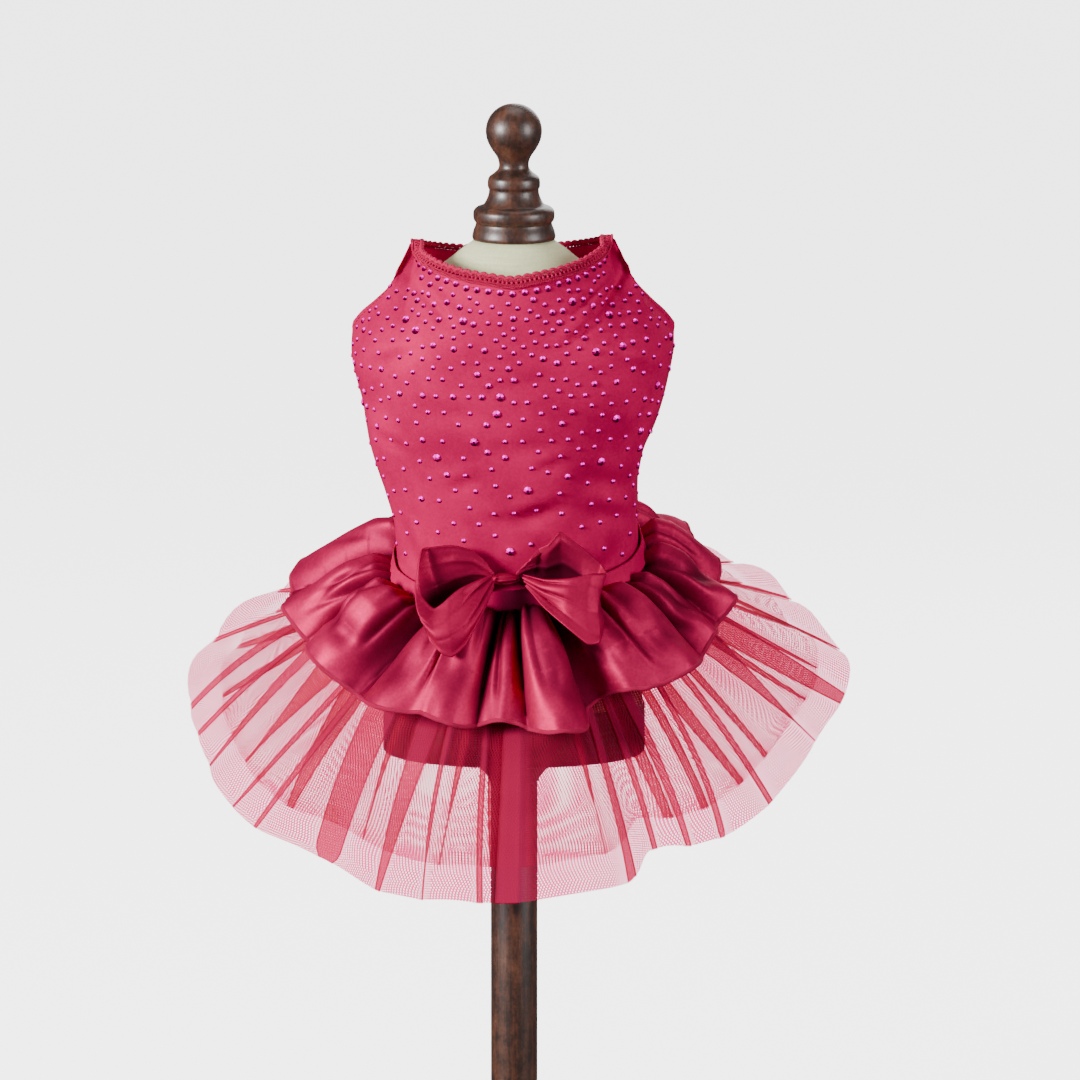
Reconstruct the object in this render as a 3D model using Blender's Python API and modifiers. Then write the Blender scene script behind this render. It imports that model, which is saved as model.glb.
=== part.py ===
"""Small pet's party dress, worn by a limbless dress form on a turned wooden stand.

Axes: +Z up, -Y the side that the camera sees, +X the camera's right. The origin is the middle
of the stand base's underside. Every table and size below is in millimetres; mesh_object turns
them into metres. The skirt has its own frame: it is tilted forward and rolled a little, and its
points are given as an angle (0 camera right, 90 camera side), a reach from the middle and a
height along the tilted axis.
"""

import math

import bpy
import numpy as np

MM = 0.001

# Cloth
WALL = 1.1
SKIRT_WALL = 1.0
SEAM_GAP = 0.5
LIFT = 0.35

# Body of the bodice: outside half widths on the camera's left and right, and half depth
BODY_WIDTHS = (
    # height, left, right
    (290.0, 58.0, 62.0),
    (318.0, 58.2, 62.4),
    (331.0, 58.6, 62.2),
    (343.0, 59.4, 61.6),
    (358.0, 63.8, 61.5),
    (369.0, 67.8, 62.2),
    (381.0, 71.6, 65.0),
    (391.0, 73.8, 69.2),
    (404.0, 75.6, 74.0),
    (415.0, 78.2, 76.8),
    (425.5, 80.2, 78.6),
    (435.0, 80.5, 80.0),
    (444.0, 80.0, 79.8),
)
BODY_DEPTHS = (
    # height, half depth
    (290.0, 33.0),
    (310.0, 33.4),
    (325.0, 34.4),
    (340.0, 36.6),
    (355.0, 40.0),
    (370.0, 43.6),
    (385.0, 47.0),
    (400.0, 49.6),
    (415.0, 51.2),
    (430.0, 51.8),
    (444.0, 51.4),
)
BODY_SQUARENESS = 2.3
CHEST_HEIGHT = 430.0
PANEL_HEM = 0.6

# Armhole edge from the underarm up to the shoulder point
ARMHOLE = (
    # half width, forward, height
    (79.8, 1.1, 443.7),
    (75.2, 5.2, 450.0),
    (68.3, 11.8, 457.0),
    (61.0, 15.8, 465.0),
    (56.4, 13.5, 473.4),
    (52.8, 8.0, 479.8),
    (50.4, 1.1, 484.6),
)
SHOULDER_SPREAD = 1.1
SHOULDER_SHIFT = -0.9
SHOULDER_ROLL = 0.026
REAR_ARMHOLE_DROP = 0.55

# Neckline: the top edge of the trim, seen as an oval that rises to the shoulder points
NECK_HALF_WIDTH = 44.6
NECK_HALF_DEPTH = 45.0
NECK_FRONT_HEIGHT = 474.2
NECK_REAR_HEIGHT = 475.8
NECK_TOP_HEIGHT = 483.8
TRIM_WIDTH = 6.0
TRIM_ABOVE = 2.6
TRIM_WALL = 1.4
TRIM_LIFT = 0.95
RIDGE_LIFT = 0.9
NECK_STEPS = 13

# Skirt frame
SKIRT_MIDDLE = (1.0, 0.0, 320.7)
SKIRT_TILT = math.radians(26.0)
SKIRT_ROLL = math.radians(4.5)

BAND_TOP = 9.0
BAND_BOTTOM = 0.6
BAND_LIFT = 1.35
BAND_FLARE = 2.0
BAND_STEPS = 48

SKIRT_DRIFT = -5.0
SKIRT_EASE = 0.6

RUFFLE_REACH = 111.0
RUFFLE_START = 0.3
RUFFLE_STEPS = 108
RUFFLE_ROWS = 5
RUFFLE_HEM = (
    # angle, share of the reach, drop
    (-158.0, 1.06, 27.0),
    (-170.0, 1.03, 26.0),
    (-182.0, 0.98, 26.0),
    (-198.5, 0.93, 26.0),
    (-214.0, 0.93, 26.0),
    (-231.0, 0.94, 26.0),
    (-243.0, 0.90, 26.0),
    (-253.0, 0.94, 26.0),
    (-262.0, 0.89, 26.0),
    (-270.0, 0.91, 26.0),
    (-279.0, 1.03, 26.0),
    (-286.0, 1.05, 26.0),
    (-294.0, 0.88, 26.0),
    (-302.0, 0.85, 26.0),
    (-310.0, 0.95, 26.0),
    (-327.0, 1.01, 26.0),
    (-340.0, 0.97, 26.0),
    (-354.0, 1.01, 26.0),
    (-374.0, 0.95, 26.0),
    (-389.0, 0.96, 27.0),
    (-410.0, 0.90, 36.0),
    (-440.0, 0.82, 44.0),
    (-470.0, 0.80, 47.0),
    (-495.0, 0.86, 42.0),
)
RUFFLE_VALLEYS = (
    # angle, depth, half width in degrees
    (174.0, 8.0, 8.0),
    (143.0, 9.0, 8.0),
    (120.0, 4.0, 6.5),
    (101.5, 8.0, 6.5),
    (87.5, 6.0, 6.0),
    (66.0, 12.0, 8.0),
    (47.0, 5.0, 6.5),
    (29.0, 8.0, 6.5),
    (13.0, 8.0, 6.0),
    (-3.0, 8.5, 6.5),
    (-22.0, 8.0, 7.5),
    (-45.0, 6.5, 8.0),
    (-69.0, 6.5, 8.5),
    (-94.0, 5.5, 8.5),
    (-118.0, 6.0, 8.0),
    (-141.0, 7.0, 8.0),
    (-164.0, 7.0, 8.0),
)
VALLEY_INWARD = 0.75
VALLEY_DOWN = 0.66
CREST = 3.6

TULLE_REACH = 165.0
TULLE_DROP = 80.0
TULLE_START = 2.2
INNER_SHARE = 0.85
INNER_BELOW = 3.2
TULLE_STEPS = 96
TULLE_ROWS = 4
TULLE_WAVES = 16
TULLE_WAVE = 2.4
TULLE_HEM = (
    # angle, share of the reach
    (-141.0, 0.98),
    (-155.0, 1.01),
    (-171.0, 1.01),
    (-190.0, 0.975),
    (-203.0, 0.99),
    (-216.0, 1.0),
    (-232.0, 0.98),
    (-246.0, 1.055),
    (-259.0, 1.058),
    (-279.0, 1.068),
    (-287.5, 1.04),
    (-293.5, 0.93),
    (-302.0, 0.99),
    (-310.0, 1.01),
    (-324.0, 0.98),
    (-340.0, 0.965),
    (-353.0, 1.005),
    (-365.0, 1.0),
    (-374.0, 0.95),
    (-390.0, 0.938),
    (-402.0, 0.92),
    (-412.0, 0.91),
    (-435.0, 0.92),
    (-465.0, 0.92),
    (-480.0, 0.91),
)

# Bow: each loop is a strip from the knot along the back layer, round the end, to the knot again
BOW_LOOP_LEFT = (
    # top x, top y, top z, bottom x, bottom y, bottom z
    (-10.0, -39.5, 323.4, -10.0, -39.5, 318.9),
    (-20.5, -38.6, 333.9, -20.0, -40.5, 313.5),
    (-30.5, -38.2, 336.9, -29.5, -45.5, 308.2),
    (-41.0, -37.5, 336.3, -38.5, -54.0, 303.4),
    (-47.0, -42.0, 328.9, -44.5, -61.0, 301.5),
    (-45.0, -51.0, 316.1, -40.0, -67.0, 293.4),
    (-35.0, -57.0, 317.1, -32.0, -69.0, 285.1),
    (-25.0, -55.0, 320.3, -23.5, -67.0, 288.8),
    (-16.0, -49.5, 322.5, -15.0, -56.0, 308.8),
    (-10.5, -44.5, 323.7, -10.5, -45.5, 320.3),
)
BOW_LOOP_RIGHT = (
    # top x, top y, top z, bottom x, bottom y, bottom z
    (2.0, -39.5, 323.9, 2.0, -39.5, 319.4),
    (12.0, -38.6, 336.9, 12.0, -42.0, 313.7),
    (23.0, -38.2, 344.5, 24.0, -47.5, 308.5),
    (34.5, -38.2, 335.9, 36.0, -56.0, 303.8),
    (44.0, -42.0, 324.8, 43.5, -63.0, 296.8),
    (41.5, -50.5, 324.7, 38.0, -69.0, 293.2),
    (29.0, -55.0, 324.4, 26.0, -66.0, 301.3),
    (15.5, -51.0, 322.7, 13.5, -57.0, 309.5),
    (5.0, -45.0, 323.3, 5.5, -47.0, 318.5),
)
BOW_KNOT = (-4.0, -40.2, 320.2)
BOW_KNOT_SIZE = (11.0, 10.9, 6.4)

# Form and stand
FINIAL_PROFILE = (
    # radius, height
    (0.0, 553.2),
    (4.8, 552.4),
    (9.3, 549.8),
    (12.6, 545.6),
    (14.0, 540.4),
    (13.4, 535.2),
    (11.2, 530.6),
    (8.6, 526.8),
    (7.5, 523.6),
    (7.7, 520.8),
    (9.6, 518.6),
    (12.2, 516.6),
    (13.0, 514.6),
    (13.0, 511.6),
    (12.4, 510.0),
    (13.0, 506.6),
    (15.2, 502.6),
    (18.2, 501.4),
    (20.0, 499.6),
    (20.3, 497.0),
    (19.9, 494.9),
    (19.0, 493.6),
    (19.2, 492.2),
    (20.2, 489.6),
    (20.8, 486.8),
    (20.4, 485.2),
    (0.0, 485.2),
)
TORSO_SECTIONS = (
    # height, half width, half depth, shift back
    (484.9, 19.8, 19.8, 0.0),
    (480.0, 26.5, 24.0, 0.0),
    (474.0, 34.0, 28.4, 0.0),
    (466.0, 45.5, 34.0, 0.0),
    (456.0, 57.0, 40.0, 0.0),
    (446.0, 68.0, 46.6, 0.0),
    (436.0, 76.2, 50.2, 0.0),
    (425.0, 76.0, 50.3, 0.0),
    (404.0, 71.0, 48.2, 0.0),
    (391.0, 66.2, 45.2, 0.0),
    (375.0, 60.0, 41.4, 0.0),
    (358.0, 57.6, 36.8, 0.0),
    (343.0, 55.8, 33.2, 0.0),
    (325.0, 54.8, 30.4, 0.0),
    (308.0, 55.0, 29.4, 1.0),
    (292.0, 57.5, 33.0, 3.0),
    (275.0, 61.5, 42.0, 1.5),
    (252.4, 64.6, 50.6, 0.0),
)
TORSO_STEPS = 36
PLATE_HALF_WIDTH = 65.5
PLATE_HALF_DEPTH = 52.0
PLATE_TOP = 252.1
PLATE_BOTTOM = 226.2
COLLAR_PROFILE = (
    (0.0, 225.9),
    (21.0, 225.9),
    (20.6, 222.6),
    (18.4, 219.6),
    (15.2, 216.2),
    (12.8, 213.2),
    (12.4, 211.2),
    (0.0, 211.2),
)
POLE_RADIUS = 11.7
POLE_TOP = 210.9
POLE_BOTTOM = 27.3
BASE_PROFILE = (
    (0.0, 27.0),
    (15.6, 27.0),
    (17.2, 25.6),
    (18.0, 23.0),
    (21.0, 21.8),
    (88.0, 20.0),
    (97.0, 18.2),
    (102.6, 14.6),
    (105.0, 9.6),
    (105.0, 4.0),
    (103.6, 1.2),
    (102.0, 0.0),
    (0.0, 0.0),
)
TURNED_STEPS = 28

COLOURS = {
    # red, green, blue, roughness
    "satin": (0.50, 0.020, 0.075, 0.34),
    "braid": (0.58, 0.030, 0.100, 0.70),
    "net": (0.55, 0.040, 0.120, 0.75),
    "linen": (0.70, 0.69, 0.56, 0.85),
    "dark_wood": (0.070, 0.028, 0.018, 0.28),
}


def clear_scene():
    for obj in list(bpy.data.objects):
        bpy.data.objects.remove(obj)


def material(name):
    red, green, blue, roughness = COLOURS[name]
    made = bpy.data.materials.new(name)
    made.use_nodes = True
    shader = made.node_tree.nodes["Principled BSDF"]
    shader.inputs["Base Color"].default_value = (red, green, blue, 1.0)
    shader.inputs["Roughness"].default_value = roughness
    made.diffuse_color = (red, green, blue, 1.0)
    return made


def mesh_object(name, points, faces, look):
    mesh = bpy.data.meshes.new(name)
    mesh.from_pydata([tuple(float(v) * MM for v in p) for p in points], [], faces)
    obj = bpy.data.objects.new(name, mesh)
    obj.data.materials.append(look)
    HOME.objects.link(obj)
    return obj


def smooth_table(table, at, column=1):
    """A smooth curve through a table's rows, read at one value of its first column."""
    rows = sorted(table)
    x = [row[0] for row in rows]
    y = [row[column] for row in rows]
    if at <= x[0]:
        return y[0]
    if at >= x[-1]:
        return y[-1]
    i = next(k for k in range(len(x) - 1) if x[k + 1] >= at)
    before, after = max(i - 1, 0), min(i + 2, len(x) - 1)
    span = x[i + 1] - x[i]
    t = (at - x[i]) / span
    slope_a = (y[i + 1] - y[before]) / (x[i + 1] - x[before]) * span
    slope_b = (y[after] - y[i]) / (x[after] - x[i]) * span
    return (
        (2 * t**3 - 3 * t**2 + 1) * y[i]
        + (t**3 - 2 * t**2 + t) * slope_a
        + (3 * t**2 - 2 * t**3) * y[i + 1]
        + (t**3 - t**2) * slope_b
    )


def round_table(table, angle, column=1):
    """A table of angles in degrees, read as one turn that closes on itself."""
    wrapped = [(row[0] % 360.0 + turn, *row[1:]) for row in table for turn in (-360.0, 0.0, 360.0)]
    return smooth_table(wrapped, angle % 360.0, column)


# Bodice

def body_point(turn, height, side):
    """A point of the bodice's outside. turn runs from -90 (left) to 90 (right) along one panel."""
    across, out = math.sin(math.radians(turn)), math.cos(math.radians(turn))
    width = smooth_table(BODY_WIDTHS, height, 2 if across > 0 else 1)
    depth = smooth_table(BODY_DEPTHS, height)
    power = 2.0 / BODY_SQUARENESS
    x = math.copysign(abs(across) ** power, across) * width
    return np.array((x, side * (SEAM_GAP / 2 + max(out, 0.0) ** power * depth), height))


def skirt_axes():
    right = np.array((math.cos(SKIRT_ROLL), 0.0, math.sin(SKIRT_ROLL)))
    forward = np.array((0.0, -math.cos(SKIRT_TILT), -math.sin(SKIRT_TILT)))
    forward -= right * forward.dot(right)
    forward /= np.linalg.norm(forward)
    return right, forward, np.cross(forward, right)


RIGHT, FORWARD, AXIS = skirt_axes()
MIDDLE = np.array(SKIRT_MIDDLE)


def skirt_point(angle, reach, height, share=0.0):
    """share is how far along the cloth the point is, because the hems hang a little to the left."""
    turn = math.radians(angle)
    out = math.cos(turn) * RIGHT + math.sin(turn) * FORWARD
    return MIDDLE + reach * out + height * AXIS + np.array((SKIRT_DRIFT * share, 0.0, 0.0))


def outside_body(point):
    x, y, z = point
    width = smooth_table(BODY_WIDTHS, z, 2 if x > 0 else 1)
    depth = smooth_table(BODY_DEPTHS, z)
    return abs(x / width) ** BODY_SQUARENESS + abs(y / depth) ** BODY_SQUARENESS - 1.0


def body_reach(angle, height):
    """How far from the skirt's middle the bodice's outside is, in the tilted plane at a height."""
    near, far = 10.0, 110.0
    for _ in range(40):
        half = (near + far) / 2
        if outside_body(skirt_point(angle, half, height)) < 0:
            near = half
        else:
            far = half
    return near


def hem_height(turn, side):
    """The height at which a bodice column meets the tilted seam."""
    low, high = 280.0, 380.0
    for _ in range(40):
        half = (low + high) / 2
        if (body_point(turn, half, side) - MIDDLE).dot(AXIS) < PANEL_HEM:
            low = half
        else:
            high = half
    return high


def neck_height(turn, side):
    middle = NECK_FRONT_HEIGHT if side < 0 else NECK_REAR_HEIGHT
    return middle + (NECK_TOP_HEIGHT - middle) * (1.0 - math.cos(math.radians(turn)))


def neck_point(turn, side, below=0.0):
    """The neckline, from -90 at the left shoulder to 90 at the right one, some way below the trim's top."""
    across, out = math.sin(math.radians(turn)), math.cos(math.radians(turn))
    lateral = 0.25 + 0.65 * abs(across) ** 3
    x = (NECK_HALF_WIDTH + lateral * below) * across + SHOULDER_SHIFT
    apart = SEAM_GAP / 2 + SHOULDER_SPREAD
    y = side * (apart + (NECK_HALF_DEPTH - apart + 0.25 * below) * max(out, 0.0))
    drop = below * (1.0 - 0.85 * abs(across) ** 3)
    return np.array((x, y, neck_height(turn, side) - drop + SHOULDER_ROLL * x))


def armhole_point(step, sign, side):
    width, forward, height = ARMHOLE[step]
    share = (height - ARMHOLE[0][2]) / (ARMHOLE[-1][2] - ARMHOLE[0][2])
    x = sign * width + SHOULDER_SHIFT * share
    if side > 0:
        height -= REAR_ARMHOLE_DROP * forward
    z = height + SHOULDER_ROLL * x * share
    return np.array((x, side * (SEAM_GAP / 2 + forward), z))


def top_edge(side):
    """The panel's upper boundary from the left underarm to the right one."""
    last = len(ARMHOLE) - 1
    left = [armhole_point(i, -1, side) for i in range(last + 1)]
    neck = [neck_point(turn, side, TRIM_ABOVE) for turn in np.linspace(-90.0, 90.0, NECK_STEPS)]
    right = [armhole_point(i, 1, side) for i in range(last, -1, -1)]
    return left + neck + right


def panel_grid(side, rows_low=6, rows_high=6):
    tops = top_edge(side)
    turns = np.linspace(-90.0, 90.0, len(tops))
    grid = []
    for row in range(rows_low + 1):
        share = row / rows_low
        line = []
        for turn in turns:
            start = hem_height(turn, side)
            line.append(body_point(turn, start + (CHEST_HEIGHT - start) * share, side))
        grid.append(line)
    for row in range(1, rows_high + 1):
        share = row / rows_high
        lean = share**1.6
        line = []
        for turn, top in zip(turns, tops):
            chest = body_point(turn, CHEST_HEIGHT, side)
            x, y = chest[:2] + (top[:2] - chest[:2]) * lean
            line.append(np.array((x, y, chest[2] + (top[2] - chest[2]) * share)))
        grid.append(line)
    return grid


def cloth(name, grid, wall, offset, look, ring=False, even=True):
    """A sheet of cloth from rows of points, made solid. With ring, each row closes on itself."""
    rows, columns = len(grid), len(grid[0])
    points = [point for line in grid for point in line]
    faces = []
    for r in range(rows - 1):
        for c in range(columns if ring else columns - 1):
            d = (c + 1) % columns
            faces.append((r * columns + c, r * columns + d, (r + 1) * columns + d, (r + 1) * columns + c))
    obj = mesh_object(name, points, faces, look)
    solid = obj.modifiers.new("wall", "SOLIDIFY")
    solid.thickness = wall * MM
    solid.offset = offset
    solid.use_even_offset = even
    for polygon in obj.data.polygons:
        polygon.use_smooth = True
    return obj


def build_bodice(look):
    front = panel_grid(-1)
    rear = [line[::-1] for line in panel_grid(1)]
    cloth("bodice_front", front, WALL, -1.0, look, even=False)
    cloth("bodice_rear", rear, WALL, -1.0, look, even=False)
    return rear


def moved_out(grid, distance):
    """The same grid, moved out from the body along its own normals."""
    array = np.array(grid)
    along = np.gradient(array, axis=1)
    up = np.gradient(array, axis=0)
    normal = np.cross(along, up)
    normal /= np.linalg.norm(normal, axis=2, keepdims=True)
    return array + normal * distance


def build_closure(rear, look):
    middle = len(rear[0]) // 2
    strip = np.array(rear)[1:-1, middle - 1 : middle + 2]
    cloth("closure_flap", moved_out(strip, LIFT).tolist(), 1.0, 1.0, look)


def build_neck_trim(look):
    """The braid ring, laid over the panels' neck edges; its rows run from its lower edge up."""
    edges, downs = [], []
    for side in (-1, 1):
        grid = panel_grid(side)
        first = len(ARMHOLE)
        chosen = range(first, first + NECK_STEPS)
        if side > 0:
            chosen = reversed(chosen)
        for column in chosen:
            edges.append(grid[-1][column])
            downs.append(grid[-2][column] - grid[-1][column])
    for here, there in ((NECK_STEPS - 1, NECK_STEPS), (2 * NECK_STEPS - 1, 0)):
        edges[here] = (edges[here] + edges[there]) / 2 + np.array((0.0, 0.0, RIDGE_LIFT))
        downs[here] = np.array((math.copysign(1.0, edges[here][0]), 0.0, 0.12))
    for gone in (NECK_STEPS, 0):
        del edges[gone], downs[gone]
    rows = ([], [], [])
    count = len(edges)
    for i, (edge, down) in enumerate(zip(edges, downs)):
        along = edges[(i + 1) % count] - edges[i - 1]
        along /= np.linalg.norm(along)
        down = down - along * down.dot(along)
        down /= np.linalg.norm(down)
        out = np.cross(along, -down)
        for line, below in zip(rows, (TRIM_WIDTH - TRIM_ABOVE, 0.0, -TRIM_ABOVE)):
            line.append(edge + down * below + out * TRIM_LIFT)
    cloth("neck_trim", list(rows), TRIM_WALL, 1.0, look, ring=True)


# Skirt

def build_waist_band(look):
    grid = []
    for height, flare in ((BAND_BOTTOM, 1.0), (BAND_TOP * 0.55, 0.25), (BAND_TOP, 0.0)):
        line = []
        for angle in np.linspace(0.0, 360.0, BAND_STEPS, endpoint=False):
            reach = body_reach(-angle, height) + BAND_LIFT + BAND_FLARE * flare
            line.append(skirt_point(-angle, reach, height))
        grid.append(line)
    cloth("waist_band", grid, WALL, 1.0, look, ring=True)


def valley(angle):
    """How deep the ruffle's hem is folded in at an angle."""
    depth = 0.0
    for middle, deep, half in RUFFLE_VALLEYS:
        away = (angle - middle + 180.0) % 360.0 - 180.0
        if abs(away) < 2 * half:
            depth = max(depth, deep * math.cos(math.pi * away / (4 * half)) ** 2)
    return depth


def ruffle_point(angle, share):
    start = body_reach(angle, -RUFFLE_START) + SKIRT_EASE
    end = RUFFLE_REACH * round_table(RUFFLE_HEM, angle)
    drop = round_table(RUFFLE_HEM, angle, 2)
    depth = (valley(angle) - CREST) * share**0.9
    reach = start + (end - start) * share - VALLEY_INWARD * depth
    height = -RUFFLE_START - (drop - RUFFLE_START) * share**1.4 - VALLEY_DOWN * depth
    return skirt_point(angle, reach, height, share)


def build_ruffle(look):
    angles = np.linspace(0.0, 360.0, RUFFLE_STEPS, endpoint=False)
    shares = [(row / RUFFLE_ROWS) ** 0.9 for row in range(RUFFLE_ROWS + 1)]
    grid = [[ruffle_point(angle, share) for angle in angles] for share in shares]
    cloth("ruffle", grid, SKIRT_WALL, 0.0, look, ring=True)


def tulle_point(angle, share, below):
    start = body_reach(angle, -TULLE_START) + SKIRT_EASE
    end = TULLE_REACH * round_table(TULLE_HEM, angle)
    wave = TULLE_WAVE * share * math.cos(math.radians(TULLE_WAVES * angle))
    rearward = max(-math.sin(math.radians(angle)), 0.0)
    drop = TULLE_START + (TULLE_DROP - TULLE_START) * share ** (0.85 - 0.42 * rearward)
    reach = start + (end - start) * share - 0.6 * wave
    return skirt_point(angle, reach, -drop - below - 0.8 * wave, share)


def build_tulle(name, length, below, look):
    """One net layer; the inner one follows the outer one a little lower, and is shorter."""
    angles = np.linspace(0.0, 360.0, TULLE_STEPS, endpoint=False)
    shares = [length * row / TULLE_ROWS for row in range(TULLE_ROWS + 1)]
    grid = [[tulle_point(angle, share, below) for angle in angles] for share in shares]
    cloth(name, grid, SKIRT_WALL, 0.0, look, ring=True)


# Bow

def through(points, steps):
    """Points on a smooth curve through the given ones."""
    points = [np.array(p, float) for p in points]
    made = []
    last = len(points) - 1
    for step in range(steps + 1):
        at = min(step / steps * last, last - 1e-9)
        i, t = int(at), at - int(at)
        a, b = points[max(i - 1, 0)], points[i]
        c, d = points[i + 1], points[min(i + 2, last)]
        made.append(
            0.5 * (2 * b + (c - a) * t + (2 * a - 5 * b + 4 * c - d) * t**2 + (3 * b - a - 3 * c + d) * t**3)
        )
    return made


def build_bow_loop(name, table, bulge, look):
    """A strip between its top and bottom edges, with the middle pushed out where it is widest."""
    steps, rows = 2 * (len(table) - 1), 4
    top = through([row[:3] for row in table], steps)
    bottom = through([row[3:] for row in table], steps)
    middle = sum(top) / len(top)
    grid = []
    for row in range(rows + 1):
        share = row / rows
        line = []
        for upper, lower in zip(top, bottom):
            point = lower + (upper - lower) * share
            out = point - middle
            out[2] = 0.0
            push = bulge * math.sin(math.pi * share) * np.linalg.norm(upper - lower) / 40.0
            line.append(point + out / max(np.linalg.norm(out), 1.0) * push)
        grid.append(line)
    return cloth(name, grid, SKIRT_WALL, 0.0, look, even=False)


def build_bow(look):
    build_bow_loop("bow_loop_left", BOW_LOOP_LEFT, 2.0, look)
    build_bow_loop("bow_loop_right", BOW_LOOP_RIGHT, 2.0, look)
    bpy.ops.mesh.primitive_uv_sphere_add(
        segments=16, ring_count=10, radius=0.5 * MM, location=[v * MM for v in BOW_KNOT]
    )
    take_over("bow_knot", BOW_KNOT_SIZE, look)


def take_over(name, size, look):
    """Names, sizes and colours the primitive just made, and moves it to the object's collection."""
    obj = bpy.context.object
    obj.name = name
    obj.data.name = name
    obj.scale = size
    bpy.ops.object.transform_apply(location=False, rotation=False, scale=True)
    obj.data.materials.append(look)
    for collection in list(obj.users_collection):
        collection.objects.unlink(obj)
    HOME.objects.link(obj)
    return obj


# Form and stand

def turned(name, profile, look, steps=TURNED_STEPS):
    """A turned shape from its profile, listed from top to bottom."""
    points = [(radius, 0.0, height) for radius, height in profile]
    mesh = bpy.data.meshes.new(name)
    edges = [(i, i + 1) for i in range(len(points) - 1)]
    mesh.from_pydata([tuple(v * MM for v in p) for p in points], edges, [])
    obj = bpy.data.objects.new(name, mesh)
    obj.data.materials.append(look)
    HOME.objects.link(obj)
    screw = obj.modifiers.new("turning", "SCREW")
    screw.steps = steps
    screw.render_steps = steps
    screw.use_merge_vertices = True
    screw.merge_threshold = 0.00005
    screw.use_smooth_shade = True
    return obj


def build_torso(look):
    """A loft through ovals of the form's body, closed at both ends."""
    points = []
    for height, width, depth, back in reversed(TORSO_SECTIONS):
        for turn in np.linspace(0.0, 2 * math.pi, TORSO_STEPS, endpoint=False):
            points.append((width * math.cos(turn), depth * math.sin(turn) + back, height))
    faces = []
    for r in range(len(TORSO_SECTIONS) - 1):
        for c in range(TORSO_STEPS):
            d = (c + 1) % TORSO_STEPS
            low, high = r * TORSO_STEPS, (r + 1) * TORSO_STEPS
            faces.append((low + c, low + d, high + d, high + c))
    last = (len(TORSO_SECTIONS) - 1) * TORSO_STEPS
    faces.append(tuple(reversed(range(TORSO_STEPS))))
    faces.append(tuple(last + c for c in range(TORSO_STEPS)))
    obj = mesh_object("form_torso", points, faces, look)
    for polygon in obj.data.polygons:
        polygon.use_smooth = len(polygon.vertices) == 4


def build_stand(look):
    turned("neck_finial", FINIAL_PROFILE, look)
    height = PLATE_TOP - PLATE_BOTTOM
    bpy.ops.mesh.primitive_cylinder_add(
        vertices=40, radius=MM, depth=MM, location=(0.0, 0.0, (PLATE_BOTTOM + height / 2) * MM)
    )
    plate = take_over("form_base_plate", (PLATE_HALF_WIDTH, PLATE_HALF_DEPTH, height), look)
    bevel = plate.modifiers.new("rounded edges", "BEVEL")
    bevel.width = 2.4 * MM
    bevel.segments = 2
    bevel.limit_method = "ANGLE"
    turned("pole_collar", COLLAR_PROFILE, look)
    ends = (POLE_TOP, POLE_BOTTOM)
    turned("pole", ((0.0, ends[0]), (POLE_RADIUS, ends[0]), (POLE_RADIUS, ends[1]), (0.0, ends[1])), look)
    turned("stand_base", BASE_PROFILE, look, steps=40)


clear_scene()
HOME = bpy.data.collections.new("cat_dress_on_form")
bpy.context.scene.collection.children.link(HOME)
satin, braid, net = material("satin"), material("braid"), material("net")
linen, wood = material("linen"), material("dark_wood")
rear_panel = build_bodice(satin)
build_closure(rear_panel, satin)
build_neck_trim(braid)
build_waist_band(satin)
build_ruffle(satin)
build_tulle("tulle_outer", 1.0, 0.0, net)
build_tulle("tulle_inner", INNER_SHARE, INNER_BELOW, net)
build_bow(satin)
build_torso(linen)
build_stand(wood)
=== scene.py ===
"""Looks of the small pet's party dress on its dress form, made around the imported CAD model.

The pieces' tables and sizes are in millimetres and become metres when a mesh is made. The camera,
the lights and the floor are in metres. +Z is up, -Y is the camera's side. The skirt's own frame is
tilted: a point there is an angle (0 camera right, 90 camera side), a reach from its middle and a
height along its axis.
"""

import math
import random

import bmesh
import bpy
import numpy as np
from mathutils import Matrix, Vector


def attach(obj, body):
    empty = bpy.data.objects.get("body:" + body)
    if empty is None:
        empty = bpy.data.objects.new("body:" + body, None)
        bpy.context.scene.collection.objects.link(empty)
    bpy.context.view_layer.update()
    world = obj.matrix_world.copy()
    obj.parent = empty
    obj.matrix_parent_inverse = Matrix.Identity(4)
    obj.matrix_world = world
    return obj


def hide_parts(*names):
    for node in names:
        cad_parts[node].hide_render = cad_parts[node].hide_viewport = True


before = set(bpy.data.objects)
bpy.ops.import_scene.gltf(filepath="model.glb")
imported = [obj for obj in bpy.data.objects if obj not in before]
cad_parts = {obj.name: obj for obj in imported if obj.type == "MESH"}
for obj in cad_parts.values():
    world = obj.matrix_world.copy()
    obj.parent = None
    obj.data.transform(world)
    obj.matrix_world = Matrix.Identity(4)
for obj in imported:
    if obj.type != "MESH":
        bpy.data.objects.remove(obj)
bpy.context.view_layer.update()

MM = 0.001
RNG = random.Random(11)


# Camera, lights and floor

VIEW_ELEVATION = math.radians(9.0)
VIEW_DISTANCE = 6.0
VIEW_CENTRE = (0.013, 0.0, 0.3334)
VIEW_WIDTH = 0.540
LIGHTS_AIM = (0.0, 0.0, 0.33)
FLOOR_WIDTH = 160.0


def aim(obj, target):
    obj.rotation_euler = (Vector(target) - obj.location).to_track_quat("-Z", "Y").to_euler()


def make_camera():
    data = bpy.data.cameras.new("camera")
    data.lens = data.sensor_width * VIEW_DISTANCE / VIEW_WIDTH
    data.clip_start, data.clip_end = 0.05, 60.0
    camera = bpy.data.objects.new("camera", data)
    bpy.context.scene.collection.objects.link(camera)
    back = Vector((0.0, -math.cos(VIEW_ELEVATION), math.sin(VIEW_ELEVATION)))
    camera.location = Vector(VIEW_CENTRE) + back * VIEW_DISTANCE
    aim(camera, VIEW_CENTRE)
    bpy.context.scene.camera = camera


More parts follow.
